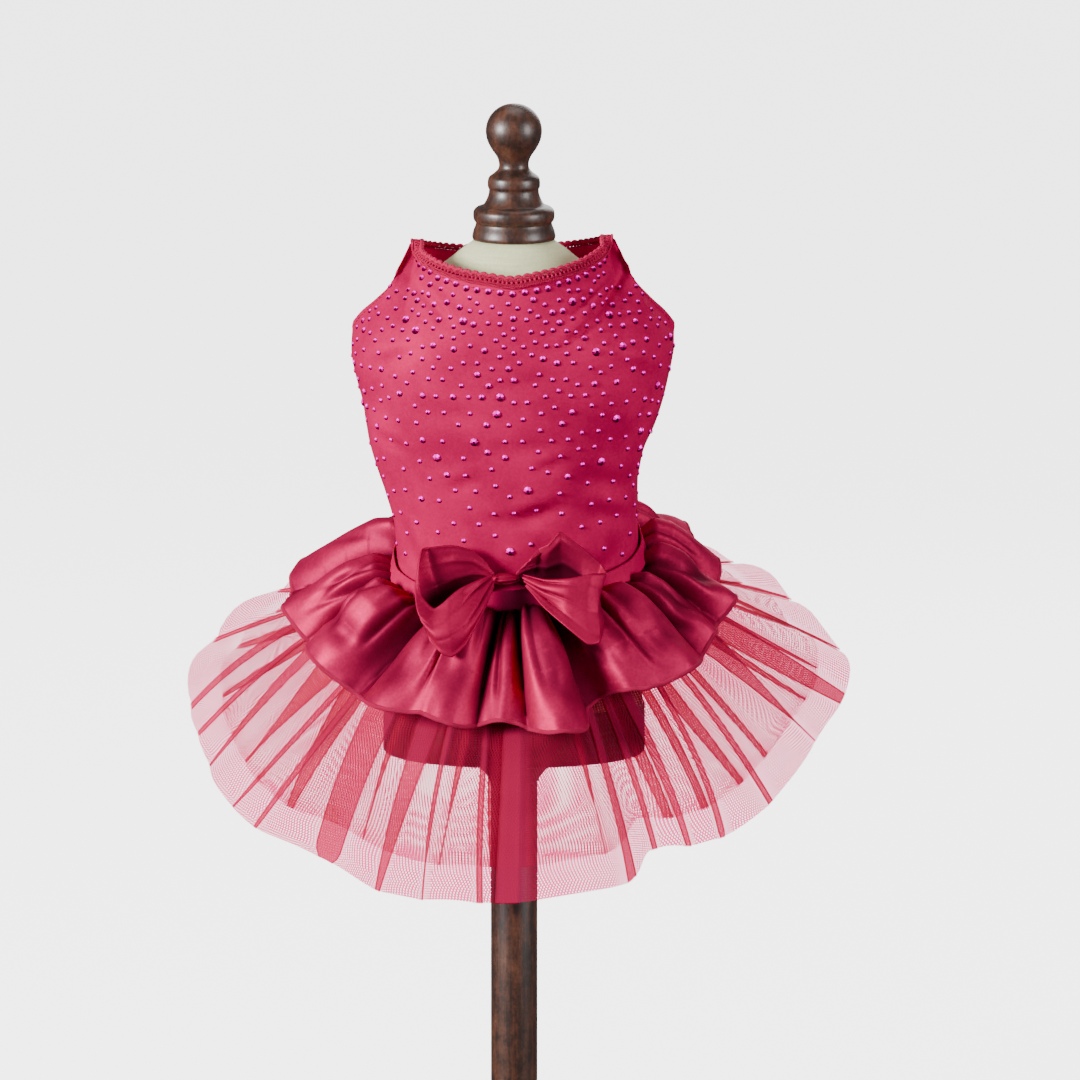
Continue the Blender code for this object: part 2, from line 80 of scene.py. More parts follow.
LIGHTS = (
    # name, place, width, height, watts
    ("key_softbox", (-1.95, -1.2, 0.95), 0.7, 0.7, 110.0),
    ("fill_softbox", (1.9, -1.2, 0.8), 0.9, 1.1, 38.0),
    ("top_softbox", (0.1, 0.3, 1.9), 1.0, 1.0, 6.0),
    ("rear_softbox", (0.5, 1.8, 1.1), 1.0, 1.0, 11.0),
)
WORLD_STRENGTH = 0.11
FLOOR_GLOW = 3.6


def make_lights():
    for name, place, width, height, watts in LIGHTS:
        data = bpy.data.lights.new(name, "AREA")
        data.shape = "RECTANGLE"
        data.size, data.size_y = width, height
        data.energy = watts
        light = bpy.data.objects.new(name, data)
        bpy.context.scene.collection.objects.link(light)
        light.location = place
        aim(light, LIGHTS_AIM)
    world = bpy.data.worlds.new("studio")
    world.use_nodes = True
    world.node_tree.nodes["Background"].inputs["Color"].default_value = (1.0, 1.0, 1.0, 1.0)
    world.node_tree.nodes["Background"].inputs["Strength"].default_value = WORLD_STRENGTH
    bpy.context.scene.world = world


# Materials

SATINS = (
    # name, light tone, dark tone, roughness, metallic, what it reflects at a low angle
    ("satin", (0.66, 0.006, 0.102), (0.45, 0.004, 0.068), 0.58, 0.14, (1.0, 0.05, 0.18)),
    ("satin_ruffle", (0.70, 0.018, 0.112), (0.42, 0.011, 0.068), 0.50, 0.5, (1.0, 0.12, 0.50)),
    ("satin_bow", (0.47, 0.010, 0.070), (0.30, 0.007, 0.045), 0.52, 0.5, (1.0, 0.12, 0.50)),
)
# The near black that satin is painted towards, as painted shade, where its fold mark says.
PAINTED_SHADE_COLOUR = (0.030, 0.0015, 0.009)
SATIN_WEFT = 0.42
SATIN_TWILL = 0.62

NET_ACROSS = 1.6
NET_ALONG = 2.7
NET_THREAD = 0.62
NET_TONES = ((0.34, 0.010, 0.050), (0.50, 0.018, 0.075))
NET_TINT = (0.84, 0.08, 0.26)
NET_CLEAR = 0.52
PLY_COLOUR = (0.70, 0.024, 0.150)
PLY_COVER = 0.74
PLY_SHARE = 0.7

YARNS = (
    # name, light tone on the plies, dark tone painted as shade between them, pitch of its plies in mm, depth
    # in metres
    ("crochet_yarn", (0.84, 0.012, 0.12), (0.34, 0.003, 0.04), 1.5, 0.0001),
    ("overlock_thread", (0.60, 0.008, 0.09), (0.34, 0.004, 0.045), 0.8, 0.0001),
    ("sewing_thread", (0.58, 0.008, 0.07), (0.42, 0.004, 0.045), 0.8, 0.00004),
)

# Stone colours by facet tone, from painted shadow to painted highlight.
STONE_PAINTED_SHADING = (
    (0.0, (0.02, 0.0, 0.008)),
    (0.30, (0.16, 0.0, 0.05)),
    (0.50, (0.78, 0.0, 0.30)),
    (0.80, (1.0, 0.0, 0.50)),
    (1.0, (1.0, 0.01, 0.80)),
)
# Painted glints: the brightest facets glow with these colours.
STONE_PAINTED_GLINTS = (
    (0.55, (0.0, 0.0, 0.0)),
    (0.85, (0.30, 0.0, 0.18)),
    (1.0, (1.0, 0.01, 0.75)),
)

LINEN_TONES = ((0.74, 0.78, 0.42), (0.95, 0.99, 0.60))
LINEN_PITCH = 0.85

WOODS = (
    # name, scale of the grain along x, y and z
    ("wood_upright", (320.0, 320.0, 26.0)),
    ("wood_mottled", (170.0, 170.0, 70.0)),
    ("wood_flat", (26.0, 320.0, 320.0)),
)
WOOD_TONES = (
    (0.34, (0.005, 0.0025, 0.002)),
    (0.46, (0.030, 0.010, 0.006)),
    (0.55, (0.095, 0.029, 0.013)),
    (0.68, (0.20, 0.080, 0.044)),
)


class Value:
    """A socket of a material's nodes. Python's operators on it add the Math nodes."""

    def __init__(self, look, socket):
        self.look = look
        self.socket = socket

    def math(self, operation, *others):
        sockets = dict(enumerate((self, *others)))
        return self.look.node("ShaderNodeMath", {"operation": operation}, sockets)

    def __add__(self, other):
        return self.math("ADD", other)

    __radd__ = __add__

    def __mul__(self, other):
        return self.math("MULTIPLY", other)

    __rmul__ = __mul__

    def __sub__(self, other):
        return self.math("SUBTRACT", other)

    def __rsub__(self, other):
        return (self * -1.0) + other

    def __truediv__(self, other):
        return self.math("DIVIDE", other)

    def __pow__(self, other):
        return self.math("POWER", other)

    def __abs__(self):
        return self.math("ABSOLUTE")

    def __gt__(self, other):
        return self.math("GREATER_THAN", other)

    def __lt__(self, other):
        return self.math("LESS_THAN", other)

    def low(self, other):
        return self.math("MINIMUM", other)

    def high(self, other):
        return self.math("MAXIMUM", other)

    def wave(self, pitch):
        """A sine of the value, one turn each pitch, from -1 to 1."""
        return (self * (2 * math.pi / pitch)).math("SINE")

    def ramp(self, low, high):
        """0 below low, 1 above high, and a smooth step between."""
        settings = {"interpolation_type": "SMOOTHSTEP"}
        sockets = {"Value": self, "From Min": low, "From Max": high}
        return self.look.node("ShaderNodeMapRange", settings, sockets)


class Look:
    """One material, with a Principled shader fed by expressions."""

    def __init__(self, name, **sockets):
        self.material = bpy.data.materials.new(name)
        self.material.use_nodes = True
        self.tree = self.material.node_tree
        self.shader = self.tree.nodes["Principled BSDF"]
        self.give(self.shader, sockets)

    def give(self, node, sockets):
        for key, value in sockets.items():
            name = key.replace("_", " ") if isinstance(key, str) else key
            if isinstance(value, Value):
                self.tree.links.new(value.socket, node.inputs[name])
            else:
                node.inputs[name].default_value = value

    def node(self, kind, settings, sockets, out=0):
        made = self.tree.nodes.new(kind)
        for key, value in settings.items():
            if key == "stops":
                for i, (place, colour) in enumerate(value):
                    stop = made.color_ramp.elements[i] if i < 2 else made.color_ramp.elements.new(place)
                    stop.position, stop.color = place, rgb(*colour)
            else:
                setattr(made, key, value)
        self.give(made, sockets)
        return Value(self, made.outputs[out])

    def shade(self, **sockets):
        self.give(self.shader, sockets)

    def place(self):
        """Object coordinates, in metres."""
        return self.node("ShaderNodeTexCoord", {}, {}, "Object")

    def cloth_uv(self):
        """The piece's own cloth coordinates, in millimetres along its rows and columns."""
        uv = self.node("ShaderNodeUVMap", {"uv_map": "cloth"}, {})
        return [self.node("ShaderNodeSeparateXYZ", {}, {0: uv}, axis) for axis in ("X", "Y")]

    def mark(self, name):
        """A value that the mesh carries at its points or faces."""
        return self.node("ShaderNodeAttribute", {"attribute_name": name}, {}, "Fac")

    def stretched(self, vector, scale):
        return self.node("ShaderNodeMapping", {}, {"Vector": vector, "Scale": scale})

    def noise(self, vector, scale, detail=3.0, roughness=0.5):
        sockets = {"Vector": vector, "Scale": scale, "Detail": detail, "Roughness": roughness}
        return self.node("ShaderNodeTexNoise", {}, sockets, 0)

    def blend(self, share, one, other):
        sockets = {0: share, 6: one, 7: other}
        return self.node("ShaderNodeMix", {"data_type": "RGBA"}, sockets, 2)

    def colours(self, value, stops):
        """Colours read from a list of places and colours."""
        return self.node("ShaderNodeValToRGB", {"stops": stops}, {0: value})

    def bump(self, height, distance):
        sockets = {"Height": height, "Distance": distance, "Strength": 1.0}
        self.shade(Normal=self.node("ShaderNodeBump", {}, sockets))


def rgb(red, green, blue):
    return (red, green, blue, 1.0)


def satin_look(name, light, dark, roughness, metallic, sheen):
    """Satin: fine close threads, a little uneven in colour, with a broad coloured sheen.

    It is painted darker, a painted shade, where the mesh's "fold" mark says that it lies in gathers,
    folds, creases or the bow's shadow. sheen is the colour of what it reflects at a low angle.
    """
    look = Look(name, Metallic=metallic, Specular_IOR_Level=0.08, Specular_Tint=rgb(*sheen))
    across, along = look.cloth_uv()
    place = look.place()
    uneven = look.noise(place, 38.0, 4.0, 0.6)
    speck = look.noise(place, 700.0, 2.0)
    tone = look.blend((uneven * 0.72 + speck * 0.28).ramp(0.3, 0.72), rgb(*dark), rgb(*light))
    # Painted shade: the colour is drawn towards a near black as far as the fold mark says.
    look.shade(Base_Color=look.blend(look.mark("fold"), tone, rgb(*PAINTED_SHADE_COLOUR)))
    look.shade(Roughness=roughness + (uneven - 0.5) * 0.12)
    threads = across.wave(SATIN_WEFT) * 0.6 + (along + across * 0.33).wave(SATIN_TWILL) * 0.4
    look.bump(threads * 0.5 + uneven * 4.0, 0.00002)
    return look.material


def net_look():
    """Tulle: a diamond net of fine threads, drawn closer where the cloth is gathered or folded.

    Each thread is lit like yarn and lets a part of the light behind it through, coloured.
    """
    look = Look("tulle_net", Roughness=0.7, Specular_IOR_Level=0.05)
    across, along = look.cloth_uv()
    fold, ply = look.mark("fold"), look.mark("ply")
    width = NET_THREAD + fold * (1.0 - NET_THREAD)
    one = abs((across / NET_ACROSS + along / NET_ALONG).wave(2.0))
    other = abs((across / NET_ACROSS - along / NET_ALONG).wave(2.0))
    uneven = look.noise(look.place(), 30.0, 2.0)
    dark, light = NET_TONES
    tone = look.blend(uneven.ramp(0.3, 0.7), rgb(*dark), rgb(*light))
    look.shade(Base_Color=look.blend(ply * PLY_SHARE, tone, rgb(*PLY_COLOUR)))
    yarn = Value(look, look.shader.outputs["BSDF"])
    through_yarn = look.node("ShaderNodeBsdfTransparent", {}, {"Color": rgb(*NET_TINT)})
    open_mesh = look.node("ShaderNodeBsdfTransparent", {}, {"Color": rgb(1.0, 1.0, 1.0)})
    thread = look.node("ShaderNodeMixShader", {}, {0: NET_CLEAR, 1: yarn, 2: through_yarn})
    mesh = (one < width).high(other < width)
    mesh = mesh + (PLY_COVER - mesh) * ply * PLY_SHARE
    net = look.node("ShaderNodeMixShader", {}, {0: mesh, 1: open_mesh, 2: thread})
    look.tree.links.new(net.socket, look.tree.nodes["Material Output"].inputs["Surface"])
    return look.material


def yarn_look(name, light, dark, pitch, depth):
    """Spun yarn: short slanted plies along the piece's own coordinates, painted darker between the plies as
    shade.
    """
    look = Look(name, Roughness=0.72, Specular_IOR_Level=0.2)
    across, along = look.cloth_uv()
    ply = (across + along * 0.9).wave(pitch)
    fluff = look.noise(look.place(), 1400.0, 2.0)
    # Painted shade: the tone follows the plies' bumps, darker in the grooves between them, and varies at
    # random with the fluff.
    tone = (ply * 0.35 + 0.5 + (fluff - 0.5) * 0.5).ramp(0.15, 0.85)
    look.shade(Base_Color=look.blend(tone, rgb(*dark), rgb(*light)))
    look.bump(ply + fluff, depth)
    return look.material


def stone_look():
    """Foiled glass domes: each facet's tone in the mesh holds painted light, and the brightest glow with
    painted glints.
    """
    look = Look("foiled_stone_painted_light", Roughness=0.5, Specular_IOR_Level=0.0, Emission_Strength=2.2)
    tone = look.mark("tone")
    look.shade(Base_Color=look.colours(tone, STONE_PAINTED_SHADING), Emission_Color=look.colours(tone, STONE_PAINTED_GLINTS))
    return look.material


def linen_look():
    """Cream plain weave, with thicker threads here and there."""
    look = Look("cream_linen", Roughness=0.88, Sheen_Weight=0.15)
    across, along = look.cloth_uv()
    place = look.place()
    slub = look.noise(look.stretched(place, (60.0, 60.0, 900.0)), 1.0, 3.0)
    fleck = look.noise(look.stretched(place, (900.0, 900.0, 90.0)), 1.0, 3.0)
    over = across.wave(LINEN_PITCH) * along.wave(LINEN_PITCH) * 0.5 + 0.5
    tone = over * 0.12 + slub * 0.5 + fleck * 0.38
    dark, light = LINEN_TONES
    look.shade(Base_Color=look.blend(tone.ramp(0.25, 0.75), rgb(*dark), rgb(*light)))
    look.bump(over * 0.4 + slub + fleck * 0.6, 0.00012)
    return look.material


def wood_look(name, streaks):
    """Dark stained wood under varnish. streaks is the scale of the grain along X, Y and Z."""
    look = Look(name, Coat_Weight=0.5, Coat_Roughness=0.3, Specular_IOR_Level=0.6)
    place = look.place()
    grain = look.noise(look.stretched(place, streaks), 1.0, 6.0, 0.62)
    mottle = look.noise(place, 90.0, 5.0, 0.7)
    fine = look.noise(look.stretched(place, tuple(2.4 * s for s in streaks)), 1.0, 4.0, 0.7)
    speck = look.noise(place, 620.0, 3.0, 0.7)
    tone = grain * 0.36 + mottle * 0.30 + fine * 0.14 + speck * 0.20
    look.shade(Base_Color=look.colours(tone, WOOD_TONES), Roughness=0.34 + mottle * 0.25)
    look.bump(grain * 0.6 + fine, 0.00015)
    return look.material


def floor_look():
    look = Look("pale_floor", Roughness=0.9, Specular_IOR_Level=0.2, Emission_Strength=FLOOR_GLOW)
    look.shade(Base_Color=rgb(0.90, 0.90, 0.90), Emission_Color=rgb(1.0, 1.0, 1.0))
    return look.material


def make_looks():
    looks = {"tulle_net": net_look(), "foiled_stone_painted_light": stone_look(), "cream_linen": linen_look()}
    for name, *recipe in SATINS:
        looks[name] = satin_look(name, *recipe)
    for name, *recipe in YARNS:
        looks[name] = yarn_look(name, *recipe)
    for name, streaks in WOODS:
        looks[name] = wood_look(name, streaks)
    return looks


# Meshes

SMOOTH_ANGLE = 38.0
TUBE_SIDE = (0.31, 0.22, 0.92)
HALVINGS = 24


def deselect_all():
    for obj in bpy.context.selected_objects:
        obj.select_set(False)


def select_only(obj):
    deselect_all()
    bpy.context.view_layer.objects.active = obj
    obj.select_set(True)


def finish_piece(obj, look, slot, *nodes):
    """Gives a finished piece its material and its body, and hides the CAD nodes it stands for. slot is not
    used.
    """
    obj.data.materials.clear()
    obj.data.materials.append(look)
    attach(obj, "root")
    if nodes:
        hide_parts(*nodes)
    return obj


def apply_modifiers(obj):
    select_only(obj)
    for modifier in list(obj.modifiers):
        bpy.ops.object.modifier_apply(modifier=modifier.name)
    obj.select_set(False)


def settle(obj):
    """Puts the object's place and size into its mesh."""
    select_only(obj)
    bpy.ops.object.transform_apply(location=True, rotation=True, scale=True)
    obj.select_set(False)


def eased_edges(obj, width, segments, angle=30.0):
    """Rounds the edges that turn by more than an angle, and shades the gentler ones smooth."""
    if width:
        edge = obj.modifiers.new("eased edges", "BEVEL")
        edge.width = width * MM
        edge.segments = segments
        edge.limit_method = "ANGLE"
        edge.angle_limit = math.radians(angle)
        apply_modifiers(obj)
    obj.select_set(True)
    bpy.ops.object.shade_smooth_by_angle(angle=math.radians(SMOOTH_ANGLE))
    obj.select_set(False)


def new_object(name, points, faces, uv=None):
    """A mesh from points in millimetres, shaded smooth where it has cloth coordinates."""
    mesh = bpy.data.meshes.new(name)
    mesh.from_pydata((np.asarray(points, float).reshape(-1, 3) * MM).tolist(), [], faces)
    obj = bpy.data.objects.new(name, mesh)
    bpy.context.scene.collection.objects.link(obj)
    if uv is not None:
        layer = mesh.uv_layers.new(name="cloth")
        layer.data.foreach_set("uv", np.asarray(uv, np.float32).ravel())
        mesh.polygons.foreach_set("use_smooth", [True] * len(mesh.polygons))
    return obj


def set_marks(obj, name, values, domain):
    """Puts named values on a mesh's points or faces, for its material."""
    attribute = obj.data.attributes.new(name, "FLOAT", domain)
    attribute.data.foreach_set("value", np.asarray(values, np.float32).ravel())


def unit(vectors):
    """The vectors of an array, each at length 1."""
    return vectors / np.maximum(np.linalg.norm(vectors, axis=-1, keepdims=True), 1e-9)


def running_sum(steps):
    """The sums of steps up to each row, from a first row of 0."""
    return np.concatenate((np.zeros_like(steps[:1]), np.cumsum(steps, axis=0)))


def lengths_along(points, closed=False):
    """How far along a line each point is. A closed line has its first point again at the end."""
    if closed:
        points = np.concatenate((points, points[:1]))
    return running_sum(np.linalg.norm(np.diff(points, axis=0), axis=-1))


def read_along(lengths, values, at):
    """Points or directions of a line, read at some lengths along it."""
    return np.stack([np.interp(at, lengths, values[:, k]) for k in range(3)], axis=1)


def headings(line, closed=False):
    """The direction of a line at each of its points."""
    if closed:
        return unit(np.roll(line, -1, axis=0) - np.roll(line, 1, axis=0))
    return unit(np.gradient(line, axis=0))


def square_to(ways, along):
    """Directions turned square to a line's own."""
    return unit(ways - along * (ways * along).sum(axis=1, keepdims=True))


def bell(*ratios):
    """1 at 0, falling off smoothly as the ratios grow."""
    return np.exp(-sum(ratio**2 for ratio in ratios))


def angle_between(angle, middle):
    return (angle - middle + 180.0) % 360.0 - 180.0


def halve(low, high, is_low):
    """Two places close together, with is_low true at the first and false at the second."""
    for _ in range(HALVINGS):
        middle = (low + high) / 2
        if is_low(middle):
            low = middle
        else:
            high = middle
    return low, high


def cloth_mesh(name, grid, ring=False, wall=0.0, side=0.0, gathered=False, slant=0.0, **marks):
    """A sheet from a grid of points, with its cloth coordinates. With a wall it is made solid.

    Gathered cloth is as long in its shortest row as in its longest, so its threads crowd there.
    slant is how far its threads lean across for each step along, one value or one a column.
    marks are named values at its points for the material: "fold", on satin its painted shade, on a net
    how crowded the threads are, and "ply", 1 where a net's threads lie too close to be told apart.
    """
    grid = np.asarray(grid, float)
    rows, columns = grid.shape[:2]
    spans = columns if ring else columns - 1
    c = np.arange(spans)
    d = (c + 1) % columns
    faces = []
    for low in range(0, (rows - 1) * columns, columns):
        corners = (low + c, low + d, low + columns + d, low + columns + c)
        faces += list(zip(*(corner.tolist() for corner in corners)))
    closed = np.concatenate((grid, grid[:, :1]), axis=1) if ring else grid
    across = lengths_along(closed.swapaxes(0, 1)).T
    if gathered:
        across *= across[:, -1].max() / np.maximum(across[:, -1:], 1.0)
    else:
        across -= across[:, across.shape[1] // 2, None]
    along = lengths_along(closed)
    lean = np.broadcast_to(slant, columns)
    across += np.append(lean, lean[:1])[: across.shape[1]] * along
    uv = np.empty((rows - 1, spans, 4, 2))
    for corner, (r, k) in enumerate(((0, 0), (0, 1), (1, 1), (1, 0))):
        for axis, values in enumerate((across, along)):
            uv[:, :, corner, axis] = values[r : rows - 1 + r, k : spans + k]
    obj = new_object(name, grid, faces, uv)
    for mark, values in marks.items():
        set_marks(obj, mark, values, "POINT")
    if wall:
        solid = obj.modifiers.new("wall", "SOLIDIFY")
        solid.thickness = wall * MM
        solid.offset = side
        solid.use_even_offset = False
        apply_modifiers(obj)
    return obj


def normals_of(grid, ring=False):
    """The way out of a grid at each of its points."""
    grid = np.asarray(grid, float)
    if ring:
        around = np.roll(grid, -1, axis=1) - np.roll(grid, 1, axis=1)
    else:
        around = np.gradient(grid, axis=1)
    return unit(np.cross(around, np.gradient(grid, axis=0)))


class Tubes:
    """Many thin rounded tubes gathered into one mesh."""

    def __init__(self):
        self.points, self.faces, self.uv = [], [], []

    def add(self, path, radius, sides=6, closed=False, flat=1.0, outward=TUBE_SIDE):
        """A tube along path. flat squeezes its section along outward, one direction or one a point."""
        path = np.asarray(path, float)
        count = len(path)
        along = headings(path, closed)
        up = square_to(np.broadcast_to(outward, path.shape), along)
        across = np.cross(along, up)
        turns = np.arange(sides) * 2 * math.pi / sides
        radii = np.broadcast_to(radius, count).reshape(-1, 1, 1)
        ring = np.cos(turns)[None, :, None] * across[:, None, :]
        ring = ring + flat * np.sin(turns)[None, :, None] * up[:, None, :]
        ring = path[:, None, :] + ring * radii
        first = len(self.points)
        self.points.extend(ring.reshape(-1, 3))
        lengths = lengths_along(path, closed)
        for i in range(len(lengths) - 1):
            here, there = first + i * sides, first + (i + 1) % count * sides
            for j in range(sides):
                k = (j + 1) % sides
                self.faces.append((here + j, there + j, there + k, here + k))
                corners = ((i, j), (i + 1, j), (i + 1, j + 1), (i, j + 1))
                self.uv += [(lengths[step], float(side)) for step, side in corners]
        if not closed:
            last = first + (count - 1) * sides
            self.faces.append(tuple(range(first, first + sides)))
            self.faces.append(tuple(range(last + sides - 1, last - 1, -1)))
            self.uv += [(0.0, 0.0)] * (2 * sides)

    def build(self, name):
        return new_object(name, self.points, self.faces, self.uv)


def smooth_table(table, at, column=1):
    """A smooth curve through a table's rows, read at one value of its first column."""
    rows = sorted(table)
    x = [row[0] for row in rows]
    y = [row[column] for row in rows]
    if at <= x[0]:
        return y[0]
    if at >= x[-1]:
        return y[-1]
    i = next(k for k in range(len(x) - 1) if x[k + 1] >= at)
    before, after = max(i - 1, 0), min(i + 2, len(x) - 1)
    span = x[i + 1] - x[i]
    t = (at - x[i]) / span
    slope_a = (y[i + 1] - y[before]) / (x[i + 1] - x[before]) * span
    slope_b = (y[after] - y[i]) / (x[after] - x[i]) * span
    return (
        (2 * t**3 - 3 * t**2 + 1) * y[i]
        + (t**3 - 2 * t**2 + t) * slope_a
        + (3 * t**2 - 2 * t**3) * y[i + 1]
        + (t**3 - t**2) * slope_b
    )


def round_table(table, angle, column=1):
    """A table of angles in degrees, read as one turn that closes on itself."""
    wrapped = [(row[0] % 360.0 + turn, *row[1:]) for row in table for turn in (-360.0, 0.0, 360.0)]
    return smooth_table(wrapped, angle % 360.0, column)


def through(points, steps, ease=0.5):
    """Points on a line through the given ones. With less ease it turns more sharply at each."""
    points = [np.array(p, float) for p in points]
    made = []
    last = len(points) - 1
    for step in range(steps + 1):
        at = min(step / steps * last, last - 1e-9)
        i, t = int(at), at - int(at)
        a, b = points[max(i - 1, 0)], points[i]
        c, d = points[i + 1], points[min(i + 2, last)]
        leave, arrive = ease * (c - a), ease * (d - b)
        bend = 3 * (c - b) - 2 * leave - arrive
        end = 2 * (b - c) + leave + arrive
        made.append(b + leave * t + bend * t**2 + end * t**3)
    return made


# Bodice

BODY_WIDTHS = (
    # height, left, right
    (290.0, 58.0, 62.0),
    (318.0, 58.2, 62.4),
    (331.0, 58.6, 62.2),
    (343.0, 59.4, 61.6),
    (358.0, 63.8, 61.5),
    (369.0, 67.8, 62.2),
    (381.0, 71.6, 65.0),
    (391.0, 73.8, 69.2),
    (404.0, 75.6, 74.0),
    (415.0, 78.2, 76.8),
    (425.5, 80.2, 78.6),
    (435.0, 80.5, 80.0),
    (444.0, 80.0, 79.8),
)
BODY_DEPTHS = (
    # height, half depth
    (290.0, 33.0),
    (310.0, 33.4),
    (325.0, 34.4),
    (340.0, 36.6),
    (355.0, 40.0),
    (370.0, 43.6),
    (385.0, 47.0),
    (400.0, 49.6),
    (415.0, 51.2),
    (430.0, 51.8),
    (444.0, 51.4),
)
BODY_SQUARENESS = 2.3
CHEST_HEIGHT = 430.0
PANEL_HEM = 0.6
SEAM_GAP = 0.3
ARMHOLE = (
    # half width, forward, height
    (79.8, 1.1, 443.7),
    (75.2, 5.2, 450.0),
    (68.3, 11.8, 457.0),
    (61.0, 15.8, 465.0),
    (56.4, 13.5, 473.4),
    (52.8, 8.0, 479.8),
    (50.4, 1.1, 484.6),
)
SHOULDER_SPREAD = 1.1
SHOULDER_SHIFT = -0.9
SHOULDER_ROLL = 0.026
REAR_ARMHOLE_DROP = 0.55
NECK_HALF_WIDTH = 44.6
NECK_HALF_DEPTH = 45.0
NECK_FRONT_HEIGHT = 474.2
NECK_REAR_HEIGHT = 475.8
NECK_TOP_HEIGHT = 483.8
NECK_STEPS = 13
NECK_DIP = 2.0
TRIM_ABOVE = 2.6
TRIM_LIFT = 0.95
RIDGE_LIFT = 0.9
FINER = 6
LOW_ROWS = 44
HIGH_ROWS = 40
SATIN_WALL = 0.6
HEM_FOLD = 4.0
HEM_RISE = 0.35
HEM_STITCH = 3.4
SEAM_RISE = 0.25
STITCH_GROOVE = 0.28
CHEST_EASE = 1.6
NECK_START = len(ARMHOLE) * FINER
REACH_LIMITS = (10.0, 110.0)
HEM_LIMITS = (280.0, 380.0)

SKIRT_MIDDLE = np.array((1.0, 0.0, 320.7))
SKIRT_TILT = math.radians(26.0)
SKIRT_ROLL = math.radians(4.5)
SKIRT_DRIFT = -5.0
SKIRT_EASE = 0.6

BODY_RIPPLE = 0.48
CREASE_SCALE = 2.1
CREASE_RIDGE = 0.45
RIDGE_ASIDE = 1.7
CREASES = (
    # x, height, slope in degrees, half length, half width, depth
    (-62.0, 386.5, -20.0, 8.0, 2.6, 0.9),
    (-24.5, 367.5, 15.0, 8.0, 3.4, 0.8),
    (-10.0, 349.0, 4.0, 9.0, 2.8, 0.5),
    (11.0, 351.5, 16.0, 12.0, 4.2, 1.5),
    (18.0, 377.0, 14.0, 8.0, 3.0, 0.8),
    (47.0, 366.0, -20.0, 13.0, 5.5, 1.0),
    (49.0, 350.0, -12.0, 13.0, 4.4, 0.9),
    (51.0, 331.0, 70.0, 12.0, 4.0, 0.8),
    (40.0, 322.0, 30.0, 10.0, 3.6, 0.7),
    (-44.0, 344.0, -58.0, 15.0, 4.5, 0.7),
    (-52.0, 333.0, -70.0, 12.0, 3.2, 0.8),
    (-30.0, 404.0, -6.0, 16.0, 4.0, 0.5),
    (4.0, 419.0, 8.0, 18.0, 3.4, 0.5),
    (34.0, 444.0, 30.0, 12.0, 2.6, 0.8),
    (44.0, 457.0, 48.0, 13.0, 2.4, 1.0),
    (50.0, 463.0, 60.0, 10.0, 1.9, 0.9),
    (37.0, 461.0, 40.0, 10.0, 2.2, 0.8),
    (-42.0, 459.0, -44.0, 12.0, 2.6, 0.6),
    (-58.0, 431.0, 24.0, 12.0, 4.0, 0.6),
    (60.0, 425.0, -30.0, 13.0, 4.0, 0.6),
    (66.0, 399.0, 60.0, 14.0, 3.6, 0.8),
    (-12.0, 456.0, -14.0, 12.0, 3.0, 0.4),
    (-66.0, 408.0, -66.0, 13.0, 4.0, 0.5),
    (0.0, 385.0, 3.0, 26.0, 5.0, 0.35),
)
REAR_CREASES = (
    (-40.0, 352.0, -30.0, 14.0, 4.0, 1.0),
    (36.0, 344.0, 26.0, 15.0, 4.4, 1.1),
    (-28.0, 372.0, 12.0, 13.0, 4.0, 0.7),
    (44.0, 384.0, -18.0, 14.0, 4.6, 0.8),
    (-54.0, 396.0, 58.0, 13.0, 4.0, 0.6),
    (30.0, 412.0, 8.0, 15.0, 3.6, 0.6),
    (-34.0, 428.0, -12.0, 15.0, 3.6, 0.6),
    (46.0, 452.0, 48.0, 12.0, 2.6, 0.9),
    (-46.0, 454.0, -46.0, 12.0, 2.6, 0.8),
    (58.0, 430.0, -28.0, 12.0, 4.0, 0.6),
    (-62.0, 420.0, 30.0, 12.0, 3.8, 0.6),
    (22.0, 364.0, -6.0, 12.0, 3.6, 0.6),
)


def skirt_axes():
    right = np.array((math.cos(SKIRT_ROLL), 0.0, math.sin(SKIRT_ROLL)))
    forward = np.array((0.0, -math.cos(SKIRT_TILT), -math.sin(SKIRT_TILT)))
    forward -= right * forward.dot(right)
    forward /= np.linalg.norm(forward)
    return right, forward, np.cross(forward, right)


RIGHT, FORWARD, AXIS = skirt_axes()


def body_point(turn, height, side):
    """A point of the bodice's outside. turn runs from -90 (left) to 90 (right) along one panel."""
    across, out = math.sin(math.radians(turn)), math.cos(math.radians(turn))
    width = smooth_table(BODY_WIDTHS, height, 2 if across > 0 else 1)
    depth = smooth_table(BODY_DEPTHS, height)
    power = 2.0 / BODY_SQUARENESS
    x = math.copysign(abs(across) ** power, across) * width
    return np.array((x, side * (SEAM_GAP / 2 + max(out, 0.0) ** power * depth), height))


def outside_body(point):
    x, y, z = point
    width = smooth_table(BODY_WIDTHS, z, 2 if x > 0 else 1)
    depth = smooth_table(BODY_DEPTHS, z)
    return abs(x / width) ** BODY_SQUARENESS + abs(y / depth) ** BODY_SQUARENESS - 1.0


def skirt_point(angle, reach, height, share=0.0):
    """share is how far along the cloth the point is, because the hems hang a little to the left."""
    turn = math.radians(angle)
    out = math.cos(turn) * RIGHT + math.sin(turn) * FORWARD
    return SKIRT_MIDDLE + reach * out + height * AXIS + np.array((SKIRT_DRIFT * share, 0.0, 0.0))


def body_reach(angle, height):
    """How far from the skirt's middle the bodice's outside is, in the tilted plane at a height."""

    def inside(reach):
        return outside_body(skirt_point(angle, reach, height)) < 0

    return halve(*REACH_LIMITS, inside)[0]


